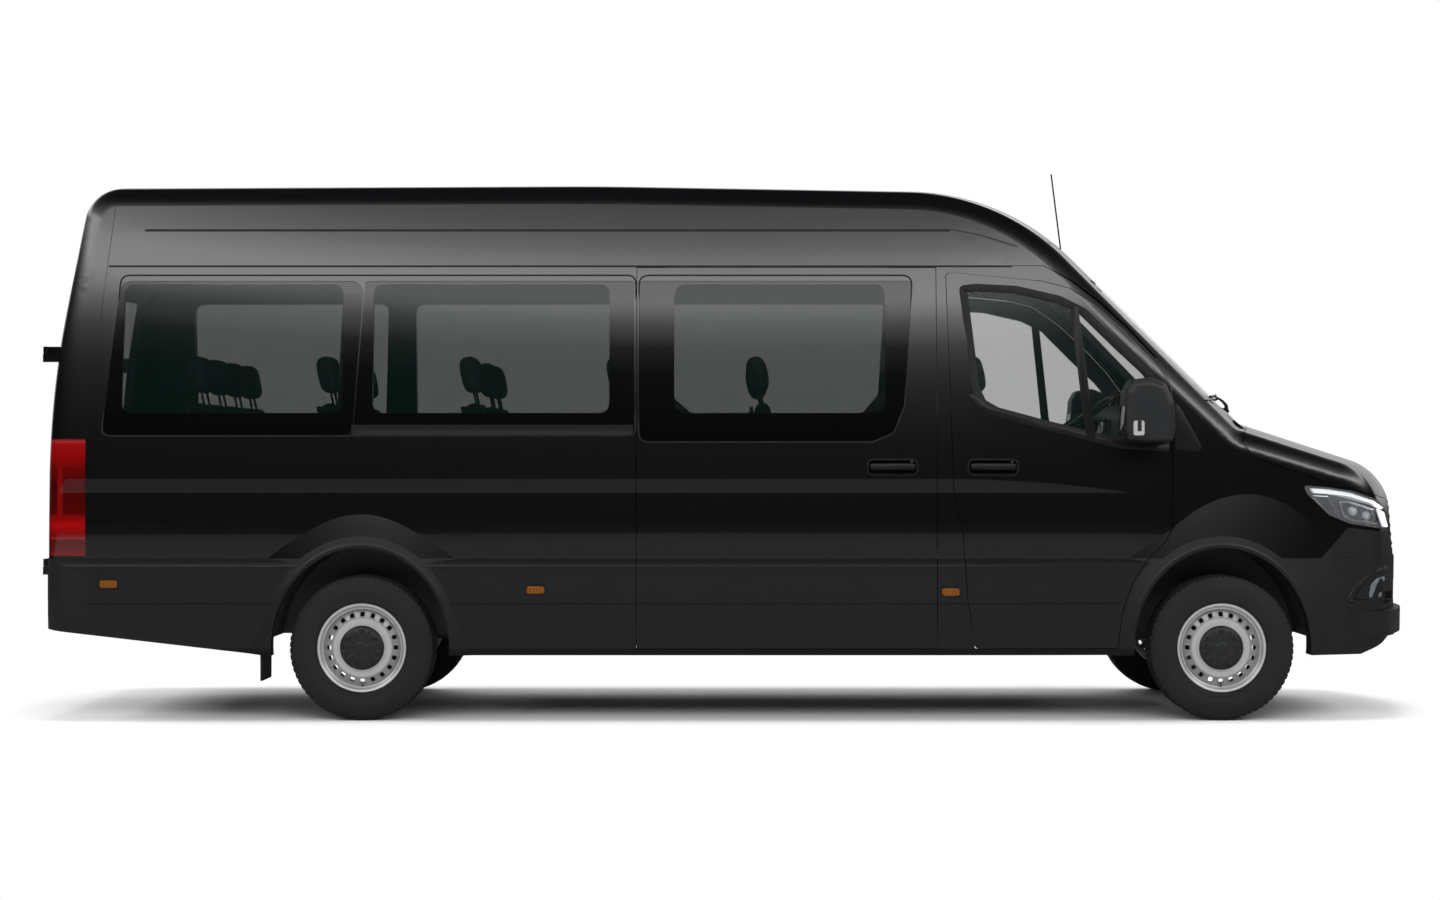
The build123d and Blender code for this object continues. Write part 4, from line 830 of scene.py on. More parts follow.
# dished cups, grip covers and lock barrels of the side handles
def makeHandles():
    handle = {"long": 0.252, "low": 1.234, "top": 1.314, "inset": 0.004, "grip": (1.262, 1.292),
              "gripEnd": 0.016, "lock": (0.030, 1.302, 0.008),
              "cup": [(-0.007, 0.0004), (-0.006, 0.0016), (0.0, 0.0018), (0.004, -0.004), (0.008, -0.018),
                      (0.016, -0.0235)],
              "cover": [(-0.0035, 0.004), (-0.0035, 0.012), (-0.001, 0.0165), (0.005, 0.018)],
              "barrel": [(0, -0.023), (0, -0.004), (0.002, -0.002)]}
    inset, end = handle["inset"], handle["gripEnd"]
    low, high = handle["grip"]
    back, up, size = handle["lock"]
    places = ((-1, 1.170, "front_door_right"), (-1, 0.665, "body"), (1, 1.170, "front_door_left"))
    for side, x, body in places:
        spot, far = onSide(side), x + handle["long"]
        loop = boxLoop(x + inset, far - inset, handle["low"] + inset, handle["top"] - inset, 0.027)
        bar = boxLoop(x + end, far - end, low + 0.002, high - 0.002, 0.012)
        cup = stackMesh("cup", loop, handle["cup"], spot, closed=False)
        lock = stackMesh("lock", circleLoop(far - back, up, size, 20), handle["barrel"], spot)
        addPiece(f"handleCup_{body}", cup, black, body)
        addPiece(f"handleGrip_{body}", stackMesh("grip", bar, handle["cover"], spot), black, body)
        addPiece(f"handleLock_{body}", lock, finishes["dark_steel"], body, "dark_steel")


makeDoorTrim()
makeGaskets()
makeChannels()
makeMarkers()
makeHandles()


# domed cap with seven bumps and seven webs between them
def hubCap(spot, centre, side):
    cap = {"bumps": 7, "bumpRing": 0.088, "bumpSize": 0.0115,
           "bump": [(0, 0.085), (0, 0.099), (0.001, 0.102), (0.004, 0.1035)],
           "webCorners": [(0.042, -0.004), (0.096, -0.007), (0.096, 0.007), (0.042, 0.004)],
           "web": [(0, 0.085), (0, 0.0955), (0.002, 0.0965)]}
    # radius and outward distance
    profile = np.array([(0.0005, 0.101), (0.026, 0.101), (0.031, 0.099), (0.034, 0.0965), (0.040, 0.0965),
                        (0.066, 0.0945), (0.098, 0.0905), (0.107, 0.085), (0.1115, 0.078), (0.1115, 0.0655),
                        (0.0005, 0.0655)])
    parts = [turnedMesh("cap", *profile.T, 64, centre, side)]
    ring, step = cap["bumpRing"], 2 * math.pi / cap["bumps"]
    for bump in range(cap["bumps"]):
        angle = math.pi / 2 + bump * step
        loop = circleLoop(ring * math.cos(angle), ring * math.sin(angle), cap["bumpSize"], 20)
        parts.append(stackMesh("bump", loop, cap["bump"], spot))
    for web in range(cap["bumps"]):
        corners = spokeCorners(math.pi / 2 + (web + 0.5) * step, cap["webCorners"])
        parts.append(stackMesh("web", roundedLoop(corners, 0.002, 3), cap["web"], spot))
    return joined("hubCap", parts)


# raised edges of the vents, the rolled outer lip and the ridge round the cap
def rimTrim(spot, centre, side):
    rim = {"vents": 20, "ventRing": 0.168, "ventHalf": 0.012,
           "coneRadius": (0.152, 0.192), "coneDepth": (0.064, 0.048),
           "vent": [(-0.0035, -0.0005), (-0.003, 0.0012), (-0.001, 0.0018), (0.001, 0.0008),
                    (0.0015, -0.006)]}
    lip = np.array([(0.214, 0.0885), (0.2175, 0.0905), (0.2215, 0.0905), (0.2235, 0.0880), (0.2225, 0.0800),
                    (0.2145, 0.0800)])
    ridge = np.array([(0.1125, 0.0655), (0.1125, 0.0690), (0.1150, 0.0700), (0.1180, 0.0695),
                      (0.1210, 0.0655)])
    middle, half = rim["ventRing"], rim["ventHalf"]
    square = [(middle - half, -half), (middle + half, -half), (middle + half, half), (middle - half, half)]

    def onCone(u, v, h):
        return spot(u, v, np.interp(np.hypot(u, v), rim["coneRadius"], rim["coneDepth"]) + h)

    parts = []
    for vent in range(rim["vents"]):
        loop = roundedLoop(spokeCorners(vent * 2 * math.pi / rim["vents"], square), 0.005, 4)
        parts.append(stackMesh("vent", loop, rim["vent"], onCone, closed=False))
    parts.append(turnedMesh("lip", *lip.T, 96, centre, side))
    parts.append(turnedMesh("ridge", *ridge.T, 64, centre, side))
    return joined("rimTrim", parts)


# caps, rim trim and valves of the four wheels
def makeWheelDetails():
    wheel = {"capTone": (0.013, 0.014, 0.015), "valveRadii": [0.0045, 0.0045, 0.003],
             "valve": [(0.0, -0.195, 0.050), (0.0, -0.190, 0.070), (0.0, -0.188, 0.086)]}
    capFinish = plainFinish("hubCap", wheel["capTone"], 0.4, wear=0.15)
    silver = finishes["rim_steel"]
    for end in ("front", "rear"):
        for name, side in sides:
            centre, body = middleOf(f"rim_{end}_{name}"), f"wheel_{end}_{name}"

            def spot(u, v, h):
                return np.stack([centre[0] + u, centre[1] + side * h, centre[2] + v], -1)

            valve = tubeMesh("valve", [spot(*place) for place in wheel["valve"]], wheel["valveRadii"], 10)
            cap, trim = hubCap(spot, centre, side), rimTrim(spot, centre, side)
            addPiece(f"hubCap_{end}_{name}", cap, capFinish, body, smooth=35.0)
            addPiece(f"rimTrim_{end}_{name}", trim, silver, body, "rim_steel", smooth=35.0)
            addPiece(f"valve_{end}_{name}", valve, rubber, body, "tyre")


makeWheelDetails()
print("wheel details made")


# bow: how far a surface falls back from its middle, by the square of the sideways place
screen = {"x": 1.863, "top": 2.292, "slope": 0.983, "bow": 0.220, "liftShare": 0.7}
nose = {"x": 3.489, "bow": 0.300, "stepBack": 0.034, "stepFoot": 0.82, "stepHigh": 0.30}
tail = {"x": -3.483, "bow": 0.025, "lean": 0.166, "leanFoot": 1.65}


# lengthwise place of the windscreen, which bows forwards at the middle and leans back
def screenX(y, z):
    return screen["x"] - screen["bow"] * y ** 2 + (screen["top"] - z) / screen["slope"]


# places on the bowed nose, which steps back above the bumper
def onNose(u, v, h):
    back = nose["stepBack"] * np.clip((v - nose["stepFoot"]) / nose["stepHigh"], 0, 1)
    return np.stack([nose["x"] - nose["bow"] * u ** 2 - back + h, u, v], -1)


# places on the bowed tail, which leans in above its foot
def onTail(u, v, h):
    lean = tail["lean"] * np.maximum(v - tail["leanFoot"], 0.0)
    return np.stack([tail["x"] + tail["bow"] * u ** 2 + lean - h, u, v], -1)


# light guide, cooling ribs, reflector rims and projectors behind each headlamp lens
def makeHeadlamps():
    lamp = {"ledTone": (0.85, 0.87, 0.9), "glow": 0.35,
            "ribs": 9, "ribFrom": (2.945, 1.112), "ribTo": (3.028, 1.040),
            "upper": [(2.905, 1.168), (2.995, 1.163), (3.118, 1.144), (3.235, 1.104), (3.290, 1.066),
                      (3.268, 1.060), (3.215, 1.088), (3.112, 1.120), (2.992, 1.138), (2.925, 1.142)],
            "front": [(3.250, 1.068), (3.292, 1.045), (3.312, 0.968), (3.282, 0.972)],
            "ribbed": [(2.912, 1.134), (3.000, 1.128), (3.074, 1.012), (3.010, 1.024)],
            "block": [(3.060, 1.100), (3.120, 1.095), (3.235, 1.058), (3.262, 0.985), (3.120, 1.005),
                      (3.080, 1.030)],
            "ribbedRim": [(0, -0.070), (0, -0.024), (0.006, -0.022), (0.009, -0.030), (0.009, -0.070)],
            "blockRim": [(-0.004, -0.075), (-0.004, -0.026), (0.004, -0.022), (0.008, -0.034),
                         (0.016, -0.075)],
            "projectors": ((3.135, 1.052, 0.026), (3.205, 1.030, 0.024))}
    led = Finish("lampGuide", baseColor=lamp["ledTone"], roughness=0.18, emissionStrength=lamp["glow"])
    led.set(emissionColor=led.mix(led.noise(40.0), (0.75, 0.8, 0.9), (1.0, 1.0, 1.0)))
    steel = plainFinish("lampReflector", (0.62, 0.63, 0.65), 0.14, metallic=1.0, wear=0.05, depth=0.0)
    dark = plainFinish("lampInner", (0.02, 0.021, 0.023), 0.3)
    block = roundedLoop(lamp["block"], 0.010)
    frameLoop = roundedLoop(lamp["ribbed"], 0.008)
    guides = [(roundedLoop(lamp["upper"], 0.008), [(0, -0.050), (0, -0.026), (0.004, -0.020)]),
              (roundedLoop(lamp["front"], 0.006), [(0, -0.050), (0, -0.030), (0.004, -0.024)])]
    for name, side in sides:
        spot = onSide(side)
        bands = [stackMesh("band", loop, levels, spot) for loop, levels in guides]
        addPiece("lampGuide_" + name, joined("lampGuide", bands), led.material, "body", "lamp_lens")
        ribs = []
        for t in np.linspace(0, 1, lamp["ribs"]):
            low = np.array(lamp["ribFrom"]) * (1 - t) + np.array(lamp["ribTo"]) * t
            bar = [low, low + (0.052, 0.004), low + (0.050, 0.0085), low + (-0.002, 0.0045)]
            levels = [(0, -0.060), (0, -0.030), (0.0015, -0.027)]
            ribs.append(stackMesh("rib", roundedLoop(bar, 0.0015, 3), levels, spot))
        ribs.append(stackMesh("frame", frameLoop, lamp["ribbedRim"], spot, closed=False))
        ribs.append(stackMesh("rim", block, lamp["blockRim"], spot, closed=False))
        addPiece("lampReflectors_" + name, joined("lampReflectors", ribs), steel, "body", "lamp_housing")
        inner = stackMesh("block", block, [(0.004, -0.080), (0.004, -0.062), (0.010, -0.058)], spot)
        addPiece("lampBlock_" + name, inner, dark, "body", "lamp_housing")
        balls = []
        for x, z, size in lamp["projectors"]:
            levels = [(0, -0.078)]
            for t in np.linspace(0, 1.45, 7):
                levels.append((size * (1 - math.cos(t)), -0.066 + 0.030 * math.sin(t)))
            balls.append(stackMesh("ball", circleLoop(x, z, size, 28), levels, spot))
        ball = glassFinish("lampBall_" + name, (0.5, 0.52, 0.55), 0.2)
        addPiece("lampProjectors_" + name, joined("lampProjectors", balls), ball, "body", "lamp_lens")


# dark sheet behind the grille, its bars, and the blank carrier on the bumper
def makeFront():
    front = {"sheetTone": (0.006, 0.006, 0.0065), "sheet": (-0.505, 0.505, 0.862, 1.075),
             "behind": [(0, -0.048), (0, -0.043), (0.002, -0.042)],
             "bars": 5, "barHalf": 0.500, "barFoot": 0.870, "barPitch": 0.046, "barHigh": (0.002, 0.014),
             "bar": [(0, -0.004), (0, 0.003), (0.002, 0.006), (0.004, 0.007)],
             "carrier": (-0.26, 0.26, 0.440, 0.535),
             "edge": [(0, 0.036), (0, 0.039), (0.002, 0.0402), (0.006, 0.0402), (0.007, 0.0394)]}
    back = stackMesh("back", boxLoop(*front["sheet"], 0.02), front["behind"], onNose)
    addPiece("grilleBack", back, plainFinish("grilleMesh", front["sheetTone"], 0.5))
    bars, half, (under, over) = [], front["barHalf"], front["barHigh"]
    for row in range(front["bars"]):
        low = front["barFoot"] + front["barPitch"] * row
        loop = boxLoop(-half, half, low + under, low + over, 0.004)
        bars.append(stackMesh("bar", loop, front["bar"], onNose))
    addPiece("grilleBars", joined("grilleBars", bars), black)
    plate = stackMesh("plate", boxLoop(*front["carrier"], 0.012), front["edge"], onNose)
    addPiece("blankCarrierFront", plate, black)


# bmesh of a CAD piece without what lies below a sloping line of the side view, and the edges of the cut
def cutBelow(node, start, end, merge):
    work = bmesh.new()
    work.from_mesh(nodes[node].data)
    if merge:
        bmesh.ops.remove_doubles(work, verts=work.verts, dist=1e-6)
    normal = (start[1] - end[1], 0.0, end[0] - start[0])
    cells = work.verts[:] + work.edges[:] + work.faces[:]
    cut = bmesh.ops.bisect_plane(work, geom=cells, dist=1e-6, clear_outer=True, plane_no=normal,
                                 plane_co=(start[0], 0, start[1]))
    return work, [cell for cell in cut["geom_cut"] if isinstance(cell, bmesh.types.BMEdge)]


def readArray(items, key, width, kind=float):
    values = np.empty(len(items) * width, dtype=kind)
    items.foreach_get(key, values)
    return values.reshape(-1, width) if width > 1 else values


# corner normals of a triangle's cut pieces: the old corners' normals weighed by the areas opposite to them
def carvedNormals(old, mesh, capStart):
    spots = meshPoints(old)
    corners = readArray(old.loops, "vertex_index", 1, np.int64).reshape(-1, 3)
    normals = readArray(old.corner_normals, "vector", 3).reshape(-1, 3, 3)
    tree = mathutils.bvhtree.BVHTree.FromPolygons(spots.tolist(), corners.tolist())
    sizes = np.array([face.loop_total for face in mesh.polygons])
    found = np.array([tree.find_nearest(face.center)[2] for face in mesh.polygons])
    owner = np.repeat(found, sizes)
    place = meshPoints(mesh)[readArray(mesh.loops, "vertex_index", 1, np.int64)]
    a, b, c = (spots[corners[owner, k]] for k in range(3))
    full = np.cross(b - a, c - a)
    area = np.maximum(np.sum(full ** 2, 1), 1e-20)
    first = np.sum(np.cross(c - b, place - b) * full, 1) / area
    second = np.sum(np.cross(a - c, place - c) * full, 1) / area
    parts = np.stack([first, second, 1 - first - second], 1)
    made = np.sum(parts[:, :, None] * normals[owner], 1)
    flat = np.repeat(np.array([face.normal[:] for face in mesh.polygons]), sizes, axis=0)
    capped = np.repeat(np.arange(len(sizes)) >= capStart, sizes)
    made[capped] = flat[capped]
    return made / np.maximum(np.linalg.norm(made, axis=1, keepdims=True), 1e-9)


# copy of a CAD piece trimmed along the line, with its own shading kept and the cut closed by downward faces
def carvedCopy(node, start, end):
    whole, edges = cutBelow(node, start, end, True)
    made = bmesh.ops.triangle_fill(whole, use_beauty=True, use_dissolve=False, edges=edges)["geom"]
    cap = [[corner.co[:] for corner in cell.verts] for cell in made if isinstance(cell, bmesh.types.BMFace)]
    whole.free()
    work, edges = cutBelow(node, start, end, False)
    capStart = len(work.faces)
    for face in cap:
        upward = np.cross(np.subtract(face[1], face[0]), np.subtract(face[2], face[0]))[2] > 0
        work.faces.new([work.verts.new(place) for place in (face[::-1] if upward else face)])
    mesh = bpy.data.meshes.new(node + "Trimmed")
    work.to_mesh(mesh)
    work.free()
    mesh.polygons.foreach_set("use_smooth", [True] * len(mesh.polygons))
    mesh.normals_split_custom_set(carvedNormals(nodes[node].data, mesh, capStart).tolist())
    return mesh


# the rear overhang's lower edge rises to the tail
def makeRearSkirt():
    skirt = {"start": (-2.360, 0.330), "end": (-3.483, 0.462),
             "slots": {"rear_bumper": "grey_plastic", "side_panel_right": "body_paint",
                       "side_panel_left": "body_paint"}}
    for node, slot in skirt["slots"].items():
        trimmed = carvedCopy(node, skirt["start"], skirt["end"])
        addPiece(node + "Skirted", trimmed, nodes[node].data.materials[0], "body", slot, [node], 0)


# places on a CAD piece straight in from the side, or from the cabin outwards
def fromSide(node, side, inner=False):
    mesh = nodes[node].data
    faces = [face.vertices[:] for face in mesh.polygons]
    tree = mathutils.bvhtree.BVHTree.FromPolygons([corner.co[:] for corner in mesh.vertices], faces)
    start, way = (side * 0.5, side) if inner else (side * 1.5, -side)

    def spot(u, v, h):
        places = []
        for x, z, rise in zip(u, v, h):
            hit, normal = tree.ray_cast((x, start, z), (0, way, 0))[:2]
            if hit is None:
                hit, normal = mathutils.Vector((x, side * 0.9, z)), mathutils.Vector((0, side, 0))
            if normal.y * way > 0:
                normal = -normal
            places.append(hit + normal * rise)
        return np.array(places)
    return spot


# dark fog lamp recesses let into the bumper's corners, each with a ledge below and an upright lamp
def makeFogLamps():
    fog = {"lensTone": (0.16, 0.17, 0.18), "clearness": 0.3,
           "recess": [(3.115, 0.600), (3.142, 0.655), (3.190, 0.700), (3.262, 0.738), (3.330, 0.748),
                      (3.330, 0.612), (3.200, 0.600)],
           "frame": [(3.080, 0.588), (3.118, 0.668), (3.178, 0.724), (3.258, 0.764), (3.335, 0.776),
                     (3.335, 0.586)],
           "lamp": [(3.200, 0.615), (3.212, 0.680), (3.245, 0.712), (3.300, 0.722), (3.300, 0.612)],
           "ledge": [(3.095, 0.560), (3.095, 0.572), (3.340, 0.572), (3.340, 0.556), (3.110, 0.554)],
           "pit": [(0, -0.002), (0, 0.0008), (0.003, 0.0012)],
           "bead": [(0, -0.002), (0.004, 0.003), (0.010, 0.0055), (0.016, 0.003), (0.020, -0.002)],
           "step": [(0, -0.002), (0.001, 0.004), (0.004, 0.006)],
           "lens": [(0, 0.0), (0, 0.003), (0.004, 0.005)]}
    lens = glassFinish("fogLens", fog["lensTone"], fog["clearness"])
    grey = finishes["grey_plastic"]
    for name, side in sides:
        spot = fromSide("front_bumper", side)
        pit = stackMesh("pit", roundedLoop(fog["recess"], 0.012), fog["pit"], spot)
        rim = stackMesh("rim", roundedLoop(fog["frame"], 0.030), fog["bead"], spot, closed=False)
        shelf = stackMesh("ledge", roundedLoop(fog["ledge"], 0.004), fog["step"], spot)
        glass = stackMesh("lamp", roundedLoop(fog["lamp"], 0.012), fog["lens"], spot)
        addPiece("fogRecess_" + name, pit, black)
        addPiece("fogFrame_" + name, joined("fogFrame", [rim, shelf]), grey, "body", "grey_plastic")
        addPiece("fogLens_" + name, glass, lens, "body", "lamp_lens")


# places over the windscreen, lifted off the glass along its slope
def overScreen(y, z, lift):
    share = screen["liftShare"] * lift
    return np.stack([screenX(y, z) + share, y, z + share], -1)


# arms and blades parked low on the windscreen, with their pivot caps
def makeWipers():
    wiper = {"arms": ((0.62, -0.02, 0.34), (-0.12, -0.70, 0.28)), "pivotHeight": 1.560, "rise": 0.062,
             "lift": [0.014, 0.024, 0.026, 0.026, 0.025, 0.025, 0.024, 0.023, 0.022],
             "radii": (0.011, 0.005), "bladeHeight": 1.622, "bladeTilt": 0.04, "tail": 0.16,
             "edges": ((0.0055, 0.022), (0.0022, 0.0125)),
             "cap": [(0.0005, 0.034), (0.012, 0.033), (0.018, 0.028), (0.020, 0.010), (0.020, -0.004),
                     (0.0005, -0.004)]}
    lift, cap, steps = np.array(wiper["lift"]), np.array(wiper["cap"]), len(wiper["lift"])
    turn = np.linspace(0, 2 * np.pi, 24, endpoint=False)[None, :, None]
    share = screen["liftShare"]
    across, up, out = np.array([0, 1, 0]), np.array([-share, 0, share]), np.array([share, 0, share])
    parts = []
    for pivot, tip, blade in wiper["arms"]:
        foot = wiper["pivotHeight"]
        path = overScreen(np.linspace(pivot, tip, steps), foot + np.linspace(0, wiper["rise"], steps), lift)
        parts.append(tubeMesh("arm", path, np.linspace(*wiper["radii"], steps), 10))
        edge = np.linspace(tip + blade, tip - wiper["tail"], 15)
        height = wiper["bladeHeight"] + wiper["bladeTilt"] * (edge - tip)
        for radius, rise in wiper["edges"]:
            parts.append(tubeMesh("blade", overScreen(edge, height, rise), radius, 8))
        base = np.array([screenX(pivot, foot), pivot, foot])
        ring = cap[:, None, :1] * (np.cos(turn) * across + np.sin(turn) * up)
        dome = gridMesh("cap", base + ring + cap[:, None, 1:] * out, wrapColumns=True)
        parts.append(tidyMesh(dome, 1e-4))
    addPiece("wipers", joined("wipers", parts), black)


# upper part of the rear doors' meeting edges, which fills the wedge between the two leaves
def makeMeetingEdges():
    wedge = [(0.0045, 1.640), (0.0045, 2.436), (0.066, 2.436), (0.052, 2.330), (0.010, 1.640)]
    levels = [(0, -0.018), (0, -0.0006), (0.0005, -0.0004)]
    for name, side in sides:
        loop = roundedLoop([(side * across, up) for across, up in wedge], 0.002, 3)
        edge = stackMesh("edge", loop, levels, onTail)
        addPiece("tailDoorEdge_" + name, edge, finishes["body_paint"], "rear_door_" + name, "body_paint")


# pull handle in its bezel, beside the rear doors' meeting edge
def makeTailHandle():
    handle = {"grip": (-0.165, -0.035, 1.130, 1.178), "bezel": (-0.182, -0.018, 1.112, 1.196),
              "gripRise": [(0, -0.002), (0, 0.012), (0.004, 0.017), (0.012, 0.018)],
              "bezelRise": [(0, -0.002), (0, 0.003), (0.003, 0.005), (0.010, 0.004)]}
    grip = stackMesh("handle", boxLoop(*handle["grip"], 0.016), handle["gripRise"], onTail)
    bezel = stackMesh("bezel", boxLoop(*handle["bezel"], 0.022), handle["bezelRise"], onTail)
    addPiece("tailHandle", joined("tailHandle", [grip, bezel]), black, "rear_door_right")


# rims and glasses in the rear faces of the door mirrors
def makeMirrors():
    mirror = {"rim": (1.016, 1.192, 1.452, 1.660), "glass": (1.021, 1.187, 1.457, 1.655),
              "face": 1.9285, "tilt": 0.10, "middle": 1.56,
              "rimRise": [(-0.004, -0.012), (-0.004, 0.001), (0.002, 0.002), (0.005, 0.0005),
                          (0.005, -0.012)],
              "glassRise": [(0, -0.010), (0, 0.0), (0.002, 0.0004)]}
    for name, side in sides:
        def spot(u, v, h):
            leaning = mirror["tilt"] * (v - mirror["middle"])
            return np.stack([mirror["face"] - h + leaning, side * u, v], -1)

        rim = stackMesh("rim", boxLoop(*mirror["rim"], 0.032), mirror["rimRise"], spot, closed=False)
        glass = stackMesh("glass", boxLoop(*mirror["glass"], 0.028), mirror["glassRise"], spot)
        addPiece("mirrorRim_" + name, rim, black, "front_door_" + name)
        addPiece("mirrorGlass_" + name, glass, chrome, "front_door_" + name, "clear_glass")


makeHeadlamps()
makeFront()
makeRearSkirt()
makeFogLamps()
makeWipers()
makeMeetingEdges()
makeTailHandle()
makeMirrors()
print("lamps, front and mirrors made")


# rear face of the dashboard: lengthwise places at three heights, and the place of the dials further ahead
dashFace = {"heights": (1.25, 1.33, 1.54), "places": (1.990, 1.960, 1.975), "dials": 2.125}


def onDash(u, v, h):
    return np.stack([np.interp(v, dashFace["heights"], dashFace["places"]) - h, u, v], -1)


def onHood(u, v, h):
    return np.stack([dashFace["dials"] + h, u, v], -1)


# screen, vents with slats, glove box lid, knobs and the hooded dials ahead of the wheel
def makeDashboard():
    dash = {"tone": (0.012, 0.0122, 0.013), "screenTone": (0.002, 0.002, 0.0025),
            "panels": ((-0.190, 0.150, 1.385, 1.530), (-0.860, -0.380, 1.275, 1.400),
                       (-0.170, 0.130, 1.275, 1.365)),
            "panel": [(0, -0.002), (0, 0.008), (0.003, 0.012), (0.008, 0.0125)],
            "screen": (-0.165, 0.125, 1.402, 1.514), "glass": [(0, 0.010), (0, 0.0135), (0.002, 0.0142)],
            "vents": (-0.780, -0.285, 0.205, 0.780), "ventHalf": 0.062, "ventHeight": (1.440, 1.522),
            "vent": [(0, -0.002), (0, 0.009), (0.004, 0.011), (0.009, 0.007), (0.010, 0.0)],
            "slats": 5, "slatHalf": 0.053, "slatFoot": 1.452, "slatPitch": 0.0135, "slatHigh": 0.005,
            "knobs": (-0.110, -0.020, 0.070), "knobHeight": 1.320, "knobSize": 0.022,
            "knob": [(0, 0.010), (0.001, 0.026), (0.004, 0.028), (0.010, 0.0275)],
            "hood": [(0.265, 1.600), (0.575, 1.600), (0.555, 1.668), (0.285, 1.668)],
            "hoodRise": [(0.006, 0.012), (0.006, 0.0), (0.0, 0.002), (0, 0.100), (0.010, 0.135)],
            "dials": (0.350, 0.490), "dialHeight": 1.634, "dialSize": 0.026,
            "dial": [(0, 0.001), (0, -0.003), (0.002, -0.0045), (0.004, -0.003)]}
    dull = plainFinish("dashGrain", dash["tone"], 0.6, grainScale=900.0)
    shiny = plainFinish("darkScreen", dash["screenTone"], 0.08, coat=1.0, depth=0.0)
    panels = [stackMesh("panel", boxLoop(*box, 0.018), dash["panel"], onDash) for box in dash["panels"]]
    glossy = [stackMesh("screen", boxLoop(*dash["screen"], 0.008), dash["glass"], onDash)]
    half, slatHalf, slats = dash["ventHalf"], dash["slatHalf"], []
    for middle in dash["vents"]:
        frameLoop = boxLoop(middle - half, middle + half, *dash["ventHeight"], 0.014)
        panels.append(stackMesh("vent", frameLoop, dash["vent"], onDash, closed=False))
        for row in range(dash["slats"]):
            low = dash["slatFoot"] + dash["slatPitch"] * row
            bar = boxLoop(middle - slatHalf, middle + slatHalf, low, low + dash["slatHigh"], 0.001, 3)
            slats.append(stackMesh("slat", bar, [(0, 0.0), (0, 0.007)], onDash))
    for place in dash["knobs"]:
        ring = circleLoop(place, dash["knobHeight"], dash["knobSize"], 28)
        slats.append(stackMesh("knob", ring, dash["knob"], onDash))
    panels.append(stackMesh("hood", roundedLoop(dash["hood"], 0.022), dash["hoodRise"], onHood))
    for place in dash["dials"]:
        ring = circleLoop(place, dash["dialHeight"], dash["dialSize"], 36)
        glossy.append(stackMesh("dial", ring, dash["dial"], onHood))
    addPiece("dashPanels", joined("dashPanels", panels), dull)
    addPiece("dashSlats", joined("dashSlats", slats), black)
    addPiece("dashScreens", joined("dashScreens", glossy), shiny)


# trim on the inner faces of the cab doors: padded insert, pull, pocket lip and speaker ring
def makeDoorCards():
    card = {"insert": [(1.235, 1.020), (1.850, 1.020), (1.900, 1.240), (1.235, 1.330)],
            "pad": [(0, 0.0), (0.003, 0.006), (0.010, 0.0085), (0.020, 0.009)],
            "pocket": [(1.270, 0.620), (1.880, 0.620), (1.860, 0.800), (1.250, 0.800)],
            "lip": [(0, 0.0), (0.002, 0.010), (0.008, 0.013), (0.014, 0.010), (0.016, 0.002)],
            "pull": (1.420, 1.680, 0.950, 0.985), "grip": [(0, 0.0), (0.001, 0.014), (0.006, 0.018)],
            "speaker": (1.760, 0.710, 0.075),
            "ring": [(0, 0.0), (0, 0.006), (0.004, 0.009), (0.010, 0.004), (0.030, 0.003), (0.034, 0.006),
                     (0.045, 0.008)]}
    for name, side in sides:
        door = "front_door_" + name
        spot = fromSide(door, side, True)
        insert = stackMesh("insert", roundedLoop(card["insert"], 0.040), card["pad"], spot)
        parts = [stackMesh("pocket", roundedLoop(card["pocket"], 0.030), card["lip"], spot, closed=False),
                 stackMesh("pull", boxLoop(*card["pull"], 0.014), card["grip"], spot),
                 stackMesh("speaker", circleLoop(*card["speaker"], 40), card["ring"], spot)]
        addPiece("doorInsert_" + name, insert, finishes["seat_cloth"], door, "seat_cloth")
        addPiece("doorTrim_" + name, joined("doorTrim", parts), black, door)


makeDashboard()
makeDoorCards()
print("cab trim made")


# woven cloth with a paler insert, sewn channels and piping, laid out in each pad's own coordinates
def seatFinish():
    weave = {"plain": ((0.010, 0.0105, 0.0115), (0.022, 0.023, 0.025)), "thread": (0.005, 0.005, 0.005),
             "insert": ((0.020, 0.021, 0.023), (0.040, 0.041, 0.044)), "insertHalf": 0.135,
             "warp": 1900.0, "sewn": 52.0}
    finish = Finish("seatWeave", specularIORLevel=0.2)
    own = finish.node("Attribute", {"attribute_name": "padPlace"}, {}, "Vector")
    u, v, w = finish.split(own)
    warp = (u * weave["warp"]).sine() * (v * weave["warp"]).sine()
    fleck = finish.noise(420.0, 2.0, vector=own)
    cloud = finish.noise(6.0, 3.0, vector=own)
    insert = (abs(v) < weave["insertHalf"]) * (w > 0.0)
    piping = 1 - abs(abs(v) - weave["insertHalf"]).step(0.001, 0.006)
    sewn = 1 - abs((u * weave["sewn"]).sine()).step(0.0, 0.18)
    seams = piping.larger(sewn * insert)
    cloth = finish.mix(insert, finish.mix(fleck, *weave["plain"]), finish.mix(fleck, *weave["insert"]))
    finish.set(baseColor=finish.mix(seams * 0.7, cloth, weave["thread"]))
    finish.set(roughness=cloud * 0.1 + 0.85)
    finish.bump(warp * 0.10 + fleck * 0.25 - seams, 0.003, 0.8)
    return finish.material


def evaluatedMesh(piece):
    return bpy.data.meshes.new_from_object(piece.evaluated_get(bpy.context.evaluated_depsgraph_get()))


